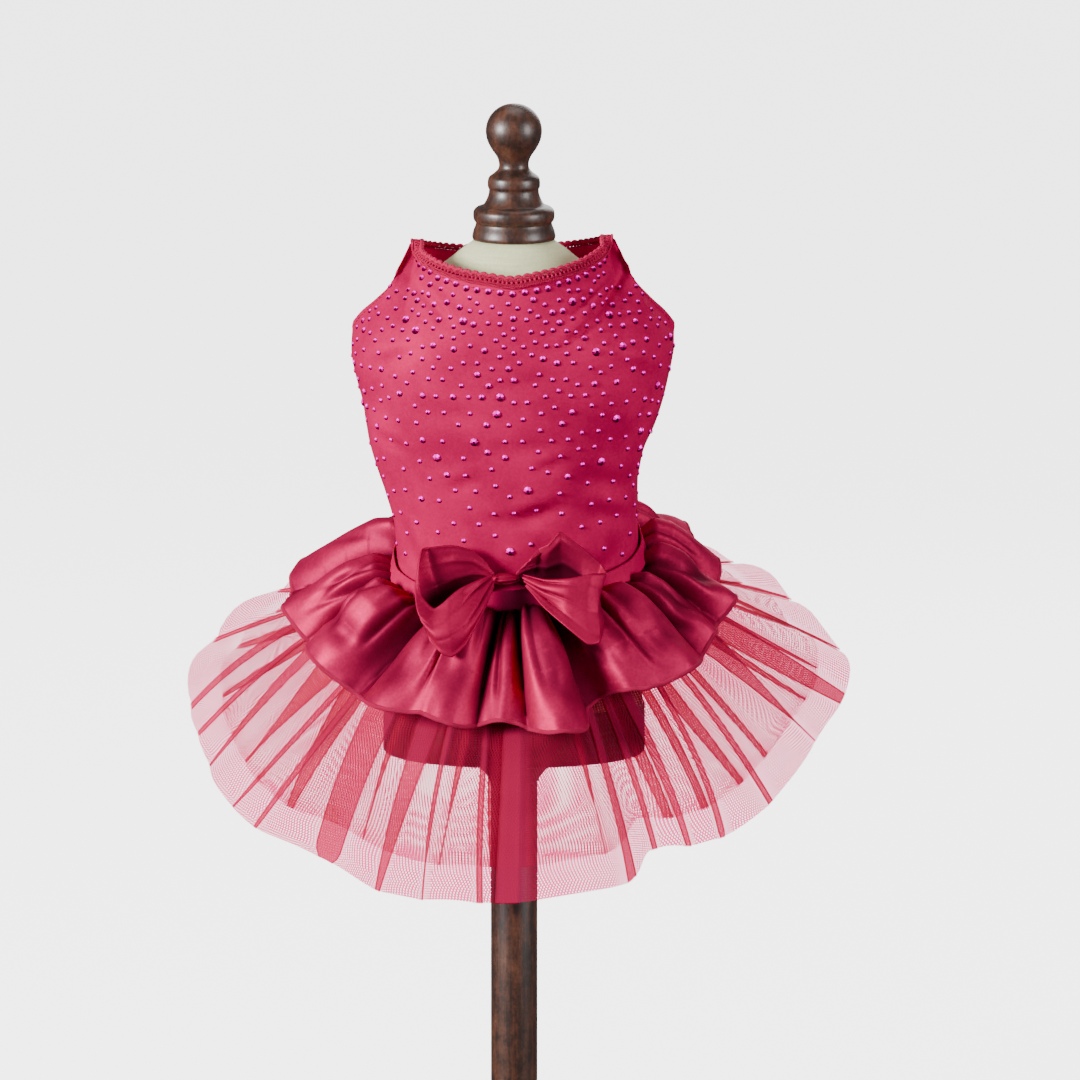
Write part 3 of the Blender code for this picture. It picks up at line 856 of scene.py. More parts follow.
def hem_height(turn, side):
    """The height at which a bodice column meets the tilted seam."""

    def under_seam(height):
        return (body_point(turn, height, side) - SKIRT_MIDDLE).dot(AXIS) < PANEL_HEM

    return halve(*HEM_LIMITS, under_seam)[1]


def neck_height(turn, side):
    middle = NECK_FRONT_HEIGHT if side < 0 else NECK_REAR_HEIGHT
    return middle + (NECK_TOP_HEIGHT - middle) * (1.0 - math.cos(math.radians(turn)))


def neck_point(turn, side, below=0.0):
    """The neckline, from -90 at the left shoulder to 90 at the right one, some way below the trim's top."""
    across, out = math.sin(math.radians(turn)), math.cos(math.radians(turn))
    lateral = 0.25 + 0.65 * abs(across) ** 3
    x = (NECK_HALF_WIDTH + lateral * below) * across + SHOULDER_SHIFT
    apart = SEAM_GAP / 2 + SHOULDER_SPREAD
    y = side * (apart + (NECK_HALF_DEPTH - apart + 0.25 * below) * max(out, 0.0))
    drop = below * (1.0 - 0.85 * abs(across) ** 3)
    dip = NECK_DIP * math.exp(-abs(x) / 9.0) if side < 0 else 0.0
    return np.array((x, y, neck_height(turn, side) - drop - dip + SHOULDER_ROLL * x))


def armhole_point(step, sign, side):
    width, forward, height = ARMHOLE[step]
    share = (height - ARMHOLE[0][2]) / (ARMHOLE[-1][2] - ARMHOLE[0][2])
    x = sign * width + SHOULDER_SHIFT * share
    if side > 0:
        height -= REAR_ARMHOLE_DROP * forward
    z = height + SHOULDER_ROLL * x * share
    return np.array((x, side * (SEAM_GAP / 2 + forward), z))


def fine_top_edge(side):
    """The panel's upper boundary from the left underarm to the right one, in fine steps."""
    last = len(ARMHOLE) - 1
    left = through([armhole_point(i, -1, side) for i in range(last + 1)], last * FINER)
    right = through([armhole_point(i, 1, side) for i in range(last, -1, -1)], last * FINER)
    turns = np.linspace(-90.0, 90.0, (NECK_STEPS - 1) * FINER + 1)
    neck = [neck_point(turn, side, TRIM_ABOVE) for turn in turns]
    strap_left = [left[-1] + (neck[0] - left[-1]) * k / FINER for k in range(1, FINER)]
    strap_right = [neck[-1] + (right[0] - neck[-1]) * k / FINER for k in range(1, FINER)]
    return left + strap_left + neck + strap_right + right


def panel(side):
    """The bodice panel as a fine grid, rows from the hem up, with its creases and turned edges."""
    tops = np.array(fine_top_edge(side))
    turns = np.linspace(-90.0, 90.0, len(tops))
    starts = [hem_height(turn, side) for turn in turns]
    grid = []
    for row in range(LOW_ROWS + 1):
        share = row / LOW_ROWS
        grid.append([
            body_point(turn, start + (CHEST_HEIGHT - start) * share, side)
            for turn, start in zip(turns, starts)
        ])
    chest = np.array(grid[-1])
    for row in range(1, HIGH_ROWS + 1):
        share = row / HIGH_ROWS
        line = chest + (tops - chest) * share
        line[:, :2] = chest[:, :2] + (tops[:, :2] - chest[:, :2]) * share**CHEST_EASE
        grid.append(list(line))
    grid = np.array(grid)
    rise = relief(grid, CREASES if side < 0 else REAR_CREASES) + turned_edges(grid)
    normal = normals_of(grid) * (-1.0 if side > 0 else 1.0)
    return grid + normal * rise[..., None]


def relief(grid, creases):
    """How far the cloth stands in or out of its smooth form at each point of the grid."""
    x, z = grid[..., 0], grid[..., 2]
    rise = BODY_RIPPLE * np.sin(x / 9.0 + 1.3 * np.sin(z / 21.0)) * np.sin(z / 15.0 + 0.8)
    for at_x, at_z, slope, half_length, half_width, depth in creases:
        turn = math.radians(slope)
        along = (x - at_x) * math.cos(turn) + (z - at_z) * math.sin(turn)
        across = (z - at_z) * math.cos(turn) - (x - at_x) * math.sin(turn)
        trough = bell(along / half_length, across / half_width)
        ridge = bell(along / half_length, (across - RIDGE_ASIDE * half_width) / half_width)
        rise += CREASE_SCALE * depth * (CREASE_RIDGE * ridge - trough)
    return rise


def below_top(grid):
    """How far along the cloth each point of a panel is from its column's top."""
    return lengths_along(grid[::-1])[::-1]


def row_at(below, column, depth):
    """The row of a panel's column that lies nearest to a depth below its top."""
    return int(np.abs(below[:, column] - depth).argmin())


def turned_edges(grid):
    """A folded hem a little thicker than the cloth, along the armholes and the side seams."""
    below = below_top(grid)
    left = lengths_along(grid.swapaxes(0, 1)).T
    inward = np.minimum(left, left[:, -1:] - left)
    columns = np.arange(grid.shape[1])
    at_armhole = (np.minimum(columns, columns[::-1]) <= NECK_START)[None, :]
    hem = at_armhole / (1.0 + np.exp((below - HEM_FOLD) * 4.0))
    stitched = at_armhole * bell((below - HEM_STITCH) / 0.5)
    return HEM_RISE * hem + SEAM_RISE * bell((inward - 1.2) / 0.9) - STITCH_GROOVE * stitched


def build_bodice(looks):
    """The front and the rear panel: first their two grids, then their two pieces."""
    grids, pieces = [], []
    for side, node in ((-1, "bodice_front"), (1, "bodice_rear")):
        grid = panel(side)
        obj = cloth_mesh(node + "_satin", grid[:, ::-side], wall=SATIN_WALL, side=-1.0)
        grids.append(grid)
        pieces.append(finish_piece(obj, looks["satin"], "satin", node))
    return *grids, *pieces


# Neck braid

BRAID_LIFT = TRIM_LIFT + 0.2
BRAID_POINTS = 900
BRAID_CORDS = (
    # distance below the edge, radius, lay
    (2.9, 0.66, 2.6),
    (1.7, 0.54, 2.1),
    (-0.2, 0.54, 2.1),
)
PLY_OFFSET = 0.62
PLY_RADIUS = 0.66
PICOT_PITCH = 4.4
PICOT_FOOT = 0.95
PICOT_RISE = 1.1
PICOT_RADIUS = 0.80
PICOT_SWELL = 0.34
POST_TOP = 0.6
POST_FOOT = 1.8
POST_SWELL = 0.2
POST_RADII = (0.72, 0.6, 0.72)


def braid_rows(front, rear):
    """The lines that the braid follows: points of the neck edge, and the ways down and out there."""
    knots = [NECK_START + i * FINER for i in range(NECK_STEPS)]
    edges, downs = [], []
    for grid, columns in ((front, knots), (rear, knots[::-1])):
        for column in columns:
            edges.append(grid[-1, column])
            downs.append(grid[-7, column] - grid[-1, column])
    for here, there in ((NECK_STEPS - 1, NECK_STEPS), (2 * NECK_STEPS - 1, 0)):
        edges[here] = (edges[here] + edges[there]) / 2 + np.array((0.0, 0.0, RIDGE_LIFT))
        downs[here] = np.array((math.copysign(1.0, edges[here][0]), 0.0, 0.12))
    for gone in (NECK_STEPS, 0):
        del edges[gone], downs[gone]
    edges = closed_curve(np.array(edges), BRAID_POINTS)
    downs = closed_curve(unit(np.array(downs)), BRAID_POINTS)
    along = headings(edges, closed=True)
    downs = square_to(downs, along)
    return edges, downs, np.cross(along, -downs)


def closed_curve(points, count):
    """A smooth closed line through the points, in count even steps of its index."""
    at = np.arange(count) / count * len(points)
    i, t = at.astype(int), (at % 1.0)[:, None]
    a, b, c, d = (points[(i + k) % len(points)] for k in (-1, 0, 1, 2))
    return 0.5 * (2 * b + (c - a) * t + (2 * a - 5 * b + 4 * c - d) * t**2 + (3 * b - a - 3 * c + d) * t**3)


def twisted(tubes, line, out, radius, lay):
    """Two plies wound round each other along a closed line."""
    side = np.cross(headings(line, closed=True), out)
    lengths = lengths_along(line, closed=True)
    turns = round(lengths[-1] / lay)
    for phase in (0.0, math.pi):
        angle = (lengths[:-1] / lengths[-1] * turns * 2 * math.pi + phase)[:, None]
        ply = line + radius * PLY_OFFSET * (np.cos(angle) * side + np.sin(angle) * out)
        tubes.add(ply, radius * PLY_RADIUS, closed=True)


def build_braid(front, rear, looks):
    """Three twisted cords side by side, with picots above them and posts across."""
    rows = braid_rows(front, rear)
    lengths = lengths_along(rows[0], closed=True)
    at = np.linspace(0.0, lengths[-1], BRAID_POINTS, endpoint=False)
    edge, down, out = (read_along(lengths, np.vstack((row, row[:1])), at) for row in rows)
    lift = out * BRAID_LIFT
    tubes = Tubes()
    for below, radius, lay in BRAID_CORDS:
        twisted(tubes, edge + down * below + lift, out, radius, lay)
    picots = round(lengths[-1] / PICOT_PITCH)
    arch = np.abs(np.sin(at / lengths[-1] * picots * math.pi)) ** 0.8
    top = edge - down * (PICOT_FOOT + PICOT_RISE * arch)[:, None] + lift
    tubes.add(top, PICOT_RADIUS + PICOT_SWELL * arch, sides=8, closed=True)
    posts = picots * 2
    for post in range(posts):
        i = int((post + 0.5) / posts * BRAID_POINTS)
        high = edge[i] - down[i] * POST_TOP + lift[i]
        low = edge[i] + down[i] * POST_FOOT + lift[i]
        tubes.add([high, (high + low) / 2 + out[i] * POST_SWELL, low], POST_RADII)
    return finish_piece(tubes.build("neck_braid"), looks["crochet_yarn"], "braid", "neck_trim")


# Stones

STONE_SIZES = (
    # diameter, share of the scattered stones
    (4.2, 0.09),
    (3.2, 0.22),
    (2.4, 0.69),
)
STONE_HEIGHT = 0.25
STONE_GLUE = 0.12
STONE_SIDES = 8
STONE_RINGS = (
    # share of the radius, share of the height
    (1.0, 0.0),
    (0.98, 0.22),
    (0.68, 0.78),
    (0.34, 1.0),
)
FACET_TONES_AND_PAINTED_LIGHT = (
    # tone at the sides, how much the painted light brightens it above, for each row of facets from the rim
    # inward
    (0.40, 0.18),
    (0.47, 0.44),
    (0.52, 0.46),
)
# Painted highlight: two crescent-shaped bright patches on the upper facets.
CRESCENT_PAINTED_HIGHLIGHT = 0.26
FACET_SPREAD = 0.1
TOP_TONES = (0.08, 0.46)
BACK_TONE = 0.2
NECK_ROW_SIZE = 3.3
NECK_ROW_SPACING = 5.1
NECK_ROW_BELOW = 6.4
STONE_TRIES = 60000
STONES_FROM = 322.0
DENSEST_FROM = 462.0
FEW_LARGE_BELOW = 372.0
GIVES_WAY = 0.7
NECK_MARGIN = 5.0
ARMHOLE_MARGIN = 7.5
# The shoulder points have no stones beyond this half width, above this height.
SHOULDER_FREE = (46.0, 464.0)
TALLEST_YOKE = 46.0
LEAST_ROOM = 3.0
MORE_ROOM = 6.375
ROOM_FOR_SIZE = 0.28
LEAST_DENSITY = 0.04
SIDES_THINNER = 0.3


class Stones:
    """Domed stones gathered into one mesh, each facet with its own tone, which holds painted light."""

    def __init__(self):
        self.points, self.faces, self.tones, self.placed = [], [], [], []

    def add(self, place, normal, diameter):
        self.placed.append((place, diameter))
        normal = unit(normal)
        side = unit(np.cross((0.0, 0.0, 1.0), normal))
        up = np.cross(normal, side)
        radius, height = diameter / 2, diameter * STONE_HEIGHT
        spin = RNG.uniform(0.0, math.pi)
        first = len(self.points)
        for share, rise in STONE_RINGS:
            for j in range(STONE_SIDES):
                turn = spin + 2 * math.pi * j / STONE_SIDES
                offset = math.cos(turn) * side + math.sin(turn) * up
                self.points.append(place + offset * radius * share + normal * (height * rise + STONE_GLUE))
        for r, (tone_beside, painted_light_above) in enumerate(FACET_TONES_AND_PAINTED_LIGHT):
            low = first + r * STONE_SIDES
            high = low + STONE_SIDES
            for j in range(STONE_SIDES):
                k = (j + 1) % STONE_SIDES
                self.faces.append((low + j, low + k, high + k, high + j))
                turn = spin + 2 * math.pi * (j + 0.5) / STONE_SIDES
                # Painted light: facets facing up are painted brighter, those facing down darker, with
                # crescent-shaped painted highlights above.
                up_lit = math.cos(turn - math.pi / 2)
                painted_crescents = max(up_lit, 0.0) * math.cos(4.0 * (turn - math.pi / 4))
                tone = tone_beside + painted_light_above * up_lit + CRESCENT_PAINTED_HIGHLIGHT * painted_crescents
                tone += RNG.uniform(-FACET_SPREAD, FACET_SPREAD)
                self.tones.append(min(max(tone, 0.0), 1.0))
        self.faces.append(tuple(range(high, high + STONE_SIDES)))
        self.tones.append(RNG.uniform(*TOP_TONES))
        self.faces.append(tuple(range(first + STONE_SIDES - 1, first - 1, -1)))
        self.tones.append(BACK_TONE)

    def build(self, name):
        obj = new_object(name, self.points, self.faces)
        set_marks(obj, "tone", self.tones, "FACE")
        return obj


def stone_density(x, z):
    """How likely a stone is at a place of the front panel, from 0 to 1."""
    upward = min(max((z - STONES_FROM) / (DENSEST_FROM - STONES_FROM), 0.0), 1.0)
    inward = 1.0 - SIDES_THINNER * min(abs(x) / 80.0, 1.0) ** 2
    return LEAST_DENSITY + (1.0 - LEAST_DENSITY) * upward**1.35 * inward


def pick_size(height):
    """A stone's diameter, by chance. Low down, most of the larger ones give way to small ones."""
    pick = RNG.random()
    for diameter, share in STONE_SIZES:
        if pick < share:
            break
        pick -= share
    small = STONE_SIZES[-1][0]
    if height < FEW_LARGE_BELOW and diameter > small and RNG.random() < GIVES_WAY:
        return small
    return diameter


def set_neck_row(stones, front, normal, below):
    """A row of equal stones, evenly spaced, some way under the neckline."""
    neck = range(NECK_START + 1, NECK_START + (NECK_STEPS - 1) * FINER)
    line = [(row_at(below, column, NECK_ROW_BELOW), column) for column in neck]
    to_go = 0.0
    for here, there in zip(line, line[1:]):
        if to_go <= 0.0:
            stones.add(front[here], normal[here], NECK_ROW_SIZE)
            to_go = NECK_ROW_SPACING
        to_go -= np.linalg.norm(front[there] - front[here])


def scatter_stones(stones, front, normal, below):
    """Stones strewn by chance, closer together towards the neckline, each with room round it."""
    for _ in range(STONE_TRIES):
        row, column = RNG.randrange(4, len(front) - 1), RNG.randrange(3, front.shape[1] - 3)
        here = front[row, column]
        density = stone_density(here[0], here[2])
        # Rows are closer near the top, so a place there is taken less often.
        fair = 1.0 if row <= LOW_ROWS else max(below[LOW_ROWS, column] / TALLEST_YOKE, 0.2)
        at_neck = NECK_START < column < front.shape[1] - NECK_START
        margin = NECK_MARGIN if at_neck else ARMHOLE_MARGIN
        if RNG.random() > density * fair or below[row, column] < margin or here[2] < STONES_FROM:
            continue
        if abs(here[0] - SHOULDER_SHIFT) > SHOULDER_FREE[0] and here[2] > SHOULDER_FREE[1]:
            continue
        diameter = pick_size(here[2])
        room = LEAST_ROOM + MORE_ROOM * (1.0 - density) ** 1.4
        gaps = ((np.linalg.norm(here - other), size) for other, size in stones.placed)
        if all(gap >= room + (size + diameter) * ROOM_FOR_SIZE for gap, size in gaps):
            stones.add(here, normal[row, column], diameter)


def build_stones(front, looks):
    stones = Stones()
    for put in (set_neck_row, scatter_stones):
        put(stones, front, normals_of(front), below_top(front))
    return finish_piece(stones.build("stones"), looks["foiled_stone_painted_light"], "satin")


# Skirt

BAND_TOP = 9.0
BAND_BOTTOM = 0.6
BAND_LIFT = 1.35
BAND_FLARE = 2.0
BAND_COLUMNS = 240
BAND_ROWS = 12
BAND_WALL = 0.7
BAND_SWELL = 0.45
BAND_PUCKERS = 23
BAND_PUCKER = 0.25
BAND_FULLNESS = 0.7
# The bow's shade on the band: its angle and half width in degrees.
BAND_SHADE = (91.0, 17.0)
RUFFLE_REACH = 111.0
RUFFLE_START = 0.3
RUFFLE_HEM = (
    # angle, share of the reach, drop
    (-158.0, 1.06, 27.0),
    (-170.0, 1.03, 26.0),
    (-182.0, 0.98, 26.0),
    (-198.5, 0.93, 26.0),
    (-214.0, 0.93, 26.0),
    (-231.0, 0.94, 26.0),
    (-243.0, 0.90, 26.0),
    (-253.0, 0.94, 26.0),
    (-262.0, 0.89, 26.0),
    (-270.0, 0.91, 26.0),
    (-279.0, 1.03, 26.0),
    (-286.0, 1.05, 26.0),
    (-294.0, 0.88, 26.0),
    (-302.0, 0.85, 26.0),
    (-310.0, 0.95, 26.0),
    (-327.0, 1.01, 26.0),
    (-340.0, 0.97, 26.0),
    (-354.0, 1.01, 26.0),
    (-374.0, 0.95, 26.0),
    (-389.0, 0.96, 27.0),
    (-410.0, 0.90, 36.0),
    (-440.0, 0.82, 44.0),
    (-470.0, 0.80, 47.0),
    (-495.0, 0.86, 42.0),
)
RUFFLE_VALLEYS = (
    # angle, depth, half width in degrees
    (174.0, 8.0, 8.0),
    (143.0, 9.0, 8.0),
    (120.0, 4.0, 6.5),
    (101.5, 8.0, 6.5),
    (87.5, 6.0, 6.0),
    (66.0, 12.0, 8.0),
    (47.0, 5.0, 6.5),
    (29.0, 8.0, 6.5),
    (13.0, 8.0, 6.0),
    (-3.0, 8.5, 6.5),
    (-22.0, 8.0, 7.5),
    (-45.0, 6.5, 8.0),
    (-69.0, 6.5, 8.5),
    (-94.0, 5.5, 8.5),
    (-118.0, 6.0, 8.0),
    (-141.0, 7.0, 8.0),
    (-164.0, 7.0, 8.0),
)
VALLEY_INWARD = 0.75
VALLEY_DOWN = 0.66
CREST = 3.6
RUFFLE_COLUMNS = 640
RUFFLE_ROWS = 48
GATHERS = 78
GATHER_HEIGHT = 0.9
GATHER_FADE = 0.15
TUCKS = 37
TUCK_HEIGHT = 0.8
PUCKERS = 61
PUCKER_HEIGHT = 0.4
PUCKER_FADE = 0.07
FLUTE_RISE = 17.0
FLUTE_SHAPE = 0.6
FLUTE_PARTED = 5.2
FLUTE_MEAN = 0.42
DENT_SCALE = 1.5
# Painted shade: how dark the ruffle is painted in its dents and creases, at the waist and in the bow's
# shadow.
DENT_PAINTED_SHADE = 0.16
CREASE_PAINTED_SHADE = 0.22
WAIST_PAINTED_SHADE = 0.5
BOW_PAINTED_SHADOW = 0.8
# The hem's thread: its radius, how flat it is, and how far in from the edge it lies.
OVERLOCK = (1.2, 0.55, 0.75)
# The bow's shade on the ruffle: its angle and half width in degrees.
BOW_SHADE = (88.0, 15.0)
RUFFLE_DENTS = (
    # angle, share, half width in degrees, half length in share, depth
    (158.0, 0.66, 5.0, 0.12, 2.6),
    (167.0, 0.62, 3.5, 0.10, 2.0),
    (131.0, 0.70, 4.5, 0.14, 2.0),
    (112.0, 0.62, 4.0, 0.14, 1.6),
    (76.0, 0.72, 4.0, 0.12, 1.8),
    (56.0, 0.60, 4.5, 0.15, 2.2),
    (38.0, 0.68, 4.0, 0.12, 1.6),
    (21.0, 0.60, 4.0, 0.15, 2.0),
    (4.0, 0.66, 3.5, 0.14, 2.2),
    (-32.0, 0.62, 5.0, 0.14, 2.0),
    (-82.0, 0.66, 5.0, 0.14, 2.0),
    (-130.0, 0.64, 5.0, 0.14, 2.0),
)

RUFFLE_CREASES = (
    # angle at the waist, angle at the hem, share reached, depth
    (180.0, 186.0, 0.55, 1.6),
    (168.0, 160.0, 0.70, 2.2),
    (160.0, 168.0, 0.45, 1.5),
    (150.0, 152.0, 0.60, 1.8),
    (136.0, 141.0, 0.85, 2.4),
    (128.0, 124.0, 0.50, 1.6),
    (117.0, 121.0, 0.75, 2.0),
    (110.0, 107.0, 0.45, 1.6),
    (97.0, 95.0, 0.80, 1.8),
    (81.0, 79.0, 0.70, 1.8),
    (58.0, 55.0, 0.55, 1.8),
    (50.0, 43.0, 0.80, 2.2),
    (41.0, 37.0, 0.45, 1.6),
    (35.0, 22.0, 0.75, 2.2),
    (22.0, 18.0, 0.60, 2.0),
    (8.0, 4.0, 0.75, 2.2),
    (0.0, -7.0, 0.60, 1.8),
)

TULLE_REACH = 165.0
TULLE_DROP = 80.0
TULLE_START = 2.2
INNER_SHARE = 0.85
INNER_BELOW = 3.2
TULLE_HEM = (
    # angle, share of the reach
    (-141.0, 0.98),
    (-155.0, 1.01),
    (-171.0, 1.01),
    (-190.0, 0.975),
    (-203.0, 0.99),
    (-216.0, 1.0),
    (-232.0, 0.98),
    (-246.0, 1.055),
    (-259.0, 1.058),
    (-279.0, 1.068),
    (-287.5, 1.04),
    (-293.5, 0.93),
    (-302.0, 0.99),
    (-310.0, 1.01),
    (-324.0, 0.98),
    (-340.0, 0.965),
    (-353.0, 1.005),
    (-365.0, 1.0),
    (-374.0, 0.95),
    (-390.0, 0.938),
    (-402.0, 0.92),
    (-412.0, 0.91),
    (-435.0, 0.92),
    (-465.0, 0.92),
    (-480.0, 0.91),
)
TULLE_ROWS = 40
TULLE_NEAR = 0.42
TULLE_FIRST = 0.03
SPREAD_COLUMNS = 6
SPREAD_BULGE = 0.28
PLY_GAP = 0.7
PLIES_APART_AT = 0.35
FOLD_EDGE = 0.6
FOLD_ROOM = 0.42
FOLD_LEAST = 0.12
FOLD_FADE = 0.05
PLY_LEANS = (0.42, -0.30, 0.0)
PLY_CROWDING = 0.12
EDGE_CROWDING = 1.2
# How a lift of the net is shared between its axis and the way out.
LIFT_WAY = (0.85, 0.5)
# How much the inner layer thins out, from which share and over how much of it.
INNER_THINS = (0.32, 0.55, 0.3)
# How much closer the outer layer is below the inner hem, and how gradually.
OUTER_CLOSES = (0.46, 0.06)
OUTER_FOLDS = (
    # angle near the ruffle, angle at the hem, width near, width at the hem, reach, density
    (-20.0, -6.5, 5.0, 1.2, 1.00, 0.8),
    (7.5, 8.8, 11.0, 3.2, 1.00, 0.8),
    (16.5, 22.0, 8.0, 0.6, 0.86, 0.4),
    (33.0, 41.5, 2.4, 1.4, 1.00, 0.5),
    (43.0, 54.0, 2.0, 1.2, 0.98, 0.6),
    (54.5, 60.0, 3.0, 0.8, 1.00, 0.7),
    (61.0, 65.5, 1.6, 0.9, 1.00, 0.8),
    (67.5, 72.5, 2.6, 1.8, 1.00, 1.9),
    (93.5, 93.6, 5.0, 3.6, 1.00, 1.9),
    (101.5, 98.0, 1.3, 0.8, 1.00, 0.5),
    (113.0, 107.5, 1.2, 0.4, 0.80, 0.5),
    (120.5, 115.5, 7.0, 0.7, 1.00, 0.5),
    (137.5, 128.0, 9.0, 5.5, 0.97, 0.7),
    (148.5, 144.5, 2.0, 0.6, 0.97, 0.6),
    (155.0, 152.0, 1.8, 0.5, 0.90, 0.6),
    (178.0, 165.5, 5.0, 0.6, 0.90, 0.6),
    (186.5, 175.5, 2.4, 0.8, 0.97, 0.6),
    (203.0, 184.0, 6.5, 1.2, 1.00, 0.6),
    (214.0, 204.0, 3.0, 1.0, 1.00, 0.6),
    (226.0, 222.0, 6.0, 1.5, 0.95, 0.4),
    (238.0, 241.0, 2.5, 0.8, 1.00, 0.5),
    (250.0, 253.0, 8.0, 1.2, 0.97, 0.5),
    (264.0, 261.0, 2.5, 1.0, 0.90, 0.4),
    (277.0, 274.0, 6.5, 1.6, 1.00, 0.6),
    (290.0, 289.0, 2.2, 0.8, 1.00, 0.5),
    (302.0, 306.0, 8.5, 1.2, 0.92, 0.4),
    (315.0, 318.0, 2.5, 1.0, 1.00, 0.6),
    (327.0, 335.0, 5.0, 1.5, 1.00, 0.6),
)
INNER_FOLDS = (
    (1.0, 3.0, 3.0, 1.0, 0.80, 0.4),
    (13.0, 13.0, 3.0, 1.0, 0.80, 0.4),
    (28.0, 34.5, 3.0, 1.4, 0.85, 0.5),
    (40.0, 43.5, 5.0, 1.5, 0.85, 0.5),
    (47.0, 55.0, 3.0, 1.5, 0.85, 0.6),
    (58.0, 61.0, 4.0, 1.5, 0.85, 0.5),
    (74.0, 76.0, 2.0, 0.6, 0.60, 0.3),
    (95.0, 92.6, 11.0, 7.4, 0.85, 1.9),
    (108.0, 106.0, 2.0, 0.6, 0.60, 0.3),
    (131.0, 121.0, 2.0, 0.5, 0.64, 0.4),
    (150.5, 139.5, 8.0, 1.2, 0.85, 0.7),
    (167.0, 158.0, 9.5, 0.6, 0.72, 0.5),
    (186.0, 183.0, 5.0, 1.2, 0.80, 0.4),
    (201.0, 200.5, 9.0, 0.8, 0.85, 0.5),
    (218.0, 214.0, 5.0, 1.2, 0.85, 0.4),
    (232.0, 231.0, 7.0, 1.6, 0.85, 0.5),
    (246.0, 243.0, 3.0, 1.0, 0.75, 0.4),
    (258.0, 262.0, 8.0, 1.0, 0.85, 0.5),
    (272.0, 270.0, 4.0, 1.6, 0.85, 0.4),
    (286.0, 288.0, 6.0, 1.2, 0.80, 0.5),
    (300.0, 297.0, 3.0, 1.0, 0.85, 0.4),
    (313.0, 315.0, 8.0, 1.6, 0.85, 0.5),
    (328.0, 326.0, 4.0, 1.0, 0.85, 0.4),
    (344.0, 347.0, 5.0, 1.2, 0.85, 0.4),
)


def build_waist_band(looks):
    """The band over the bodice's hem, a little puckered, with a painted shadow of the bow on it."""
    angles = np.linspace(0.0, 360.0, BAND_COLUMNS, endpoint=False)
    grid = []
    for row in range(BAND_ROWS + 1):
        share = row / BAND_ROWS
        height = BAND_BOTTOM + (BAND_TOP - BAND_BOTTOM) * share
        lift = BAND_LIFT + BAND_FLARE * (1.0 - share) ** 1.6
        line = []
        for angle in angles:
            pucker = math.sin(math.radians(angle * BAND_PUCKERS + 90 * share))
            swell = BAND_SWELL * math.sin(math.pi * share) + BAND_PUCKER * pucker
            reach = body_reach(-angle, height) + lift + swell * BAND_FULLNESS
            line.append(skirt_point(-angle, reach, height))
        grid.append(line)
    middle, half = BAND_SHADE
    # Painted shadow: the band is painted darker where the bow hangs over it.
    painted_bow_shadow = [0.9 * math.exp(-((angle_between(-angle, middle) / half) ** 4)) for angle in angles]
    fold = [painted_bow_shadow] * len(grid)
    obj = cloth_mesh("waist_band_satin", grid, ring=True, wall=BAND_WALL, side=1.0, fold=fold)
    return finish_piece(obj, looks["satin"], "satin", "waist_band")


def valley(angle):
    """How deep the ruffle's hem is folded in at an angle."""
    depth = 0.0
    for middle, deep, half in RUFFLE_VALLEYS:
        away = angle_between(angle, middle)
        if abs(away) < 2 * half:
            depth = max(depth, deep * math.cos(math.pi * away / (4 * half)) ** 2)
    return depth


def ruffle_cloth(angles):
    """The ruffle's points before its gathers, flutes and creases: out from the waist and down."""
    starts = [body_reach(angle, -RUFFLE_START) + SKIRT_EASE for angle in angles]
    ends = [RUFFLE_REACH * round_table(RUFFLE_HEM, angle) for angle in angles]
    drops = [round_table(RUFFLE_HEM, angle, 2) for angle in angles]
    valleys = [valley(angle) - CREST for angle in angles]
    grid = []
    for row in range(RUFFLE_ROWS + 1):
        share = row / RUFFLE_ROWS
        line = []
        for angle, start, end, drop, deep in zip(angles, starts, ends, drops, valleys):
            depth = deep * share**0.9
            reach = start + (end - start) * share - VALLEY_INWARD * depth
            height = -RUFFLE_START - (drop - RUFFLE_START) * share**1.4 - VALLEY_DOWN * depth
            line.append(skirt_point(angle, reach, height, share))
        grid.append(line)
    return np.array(grid)


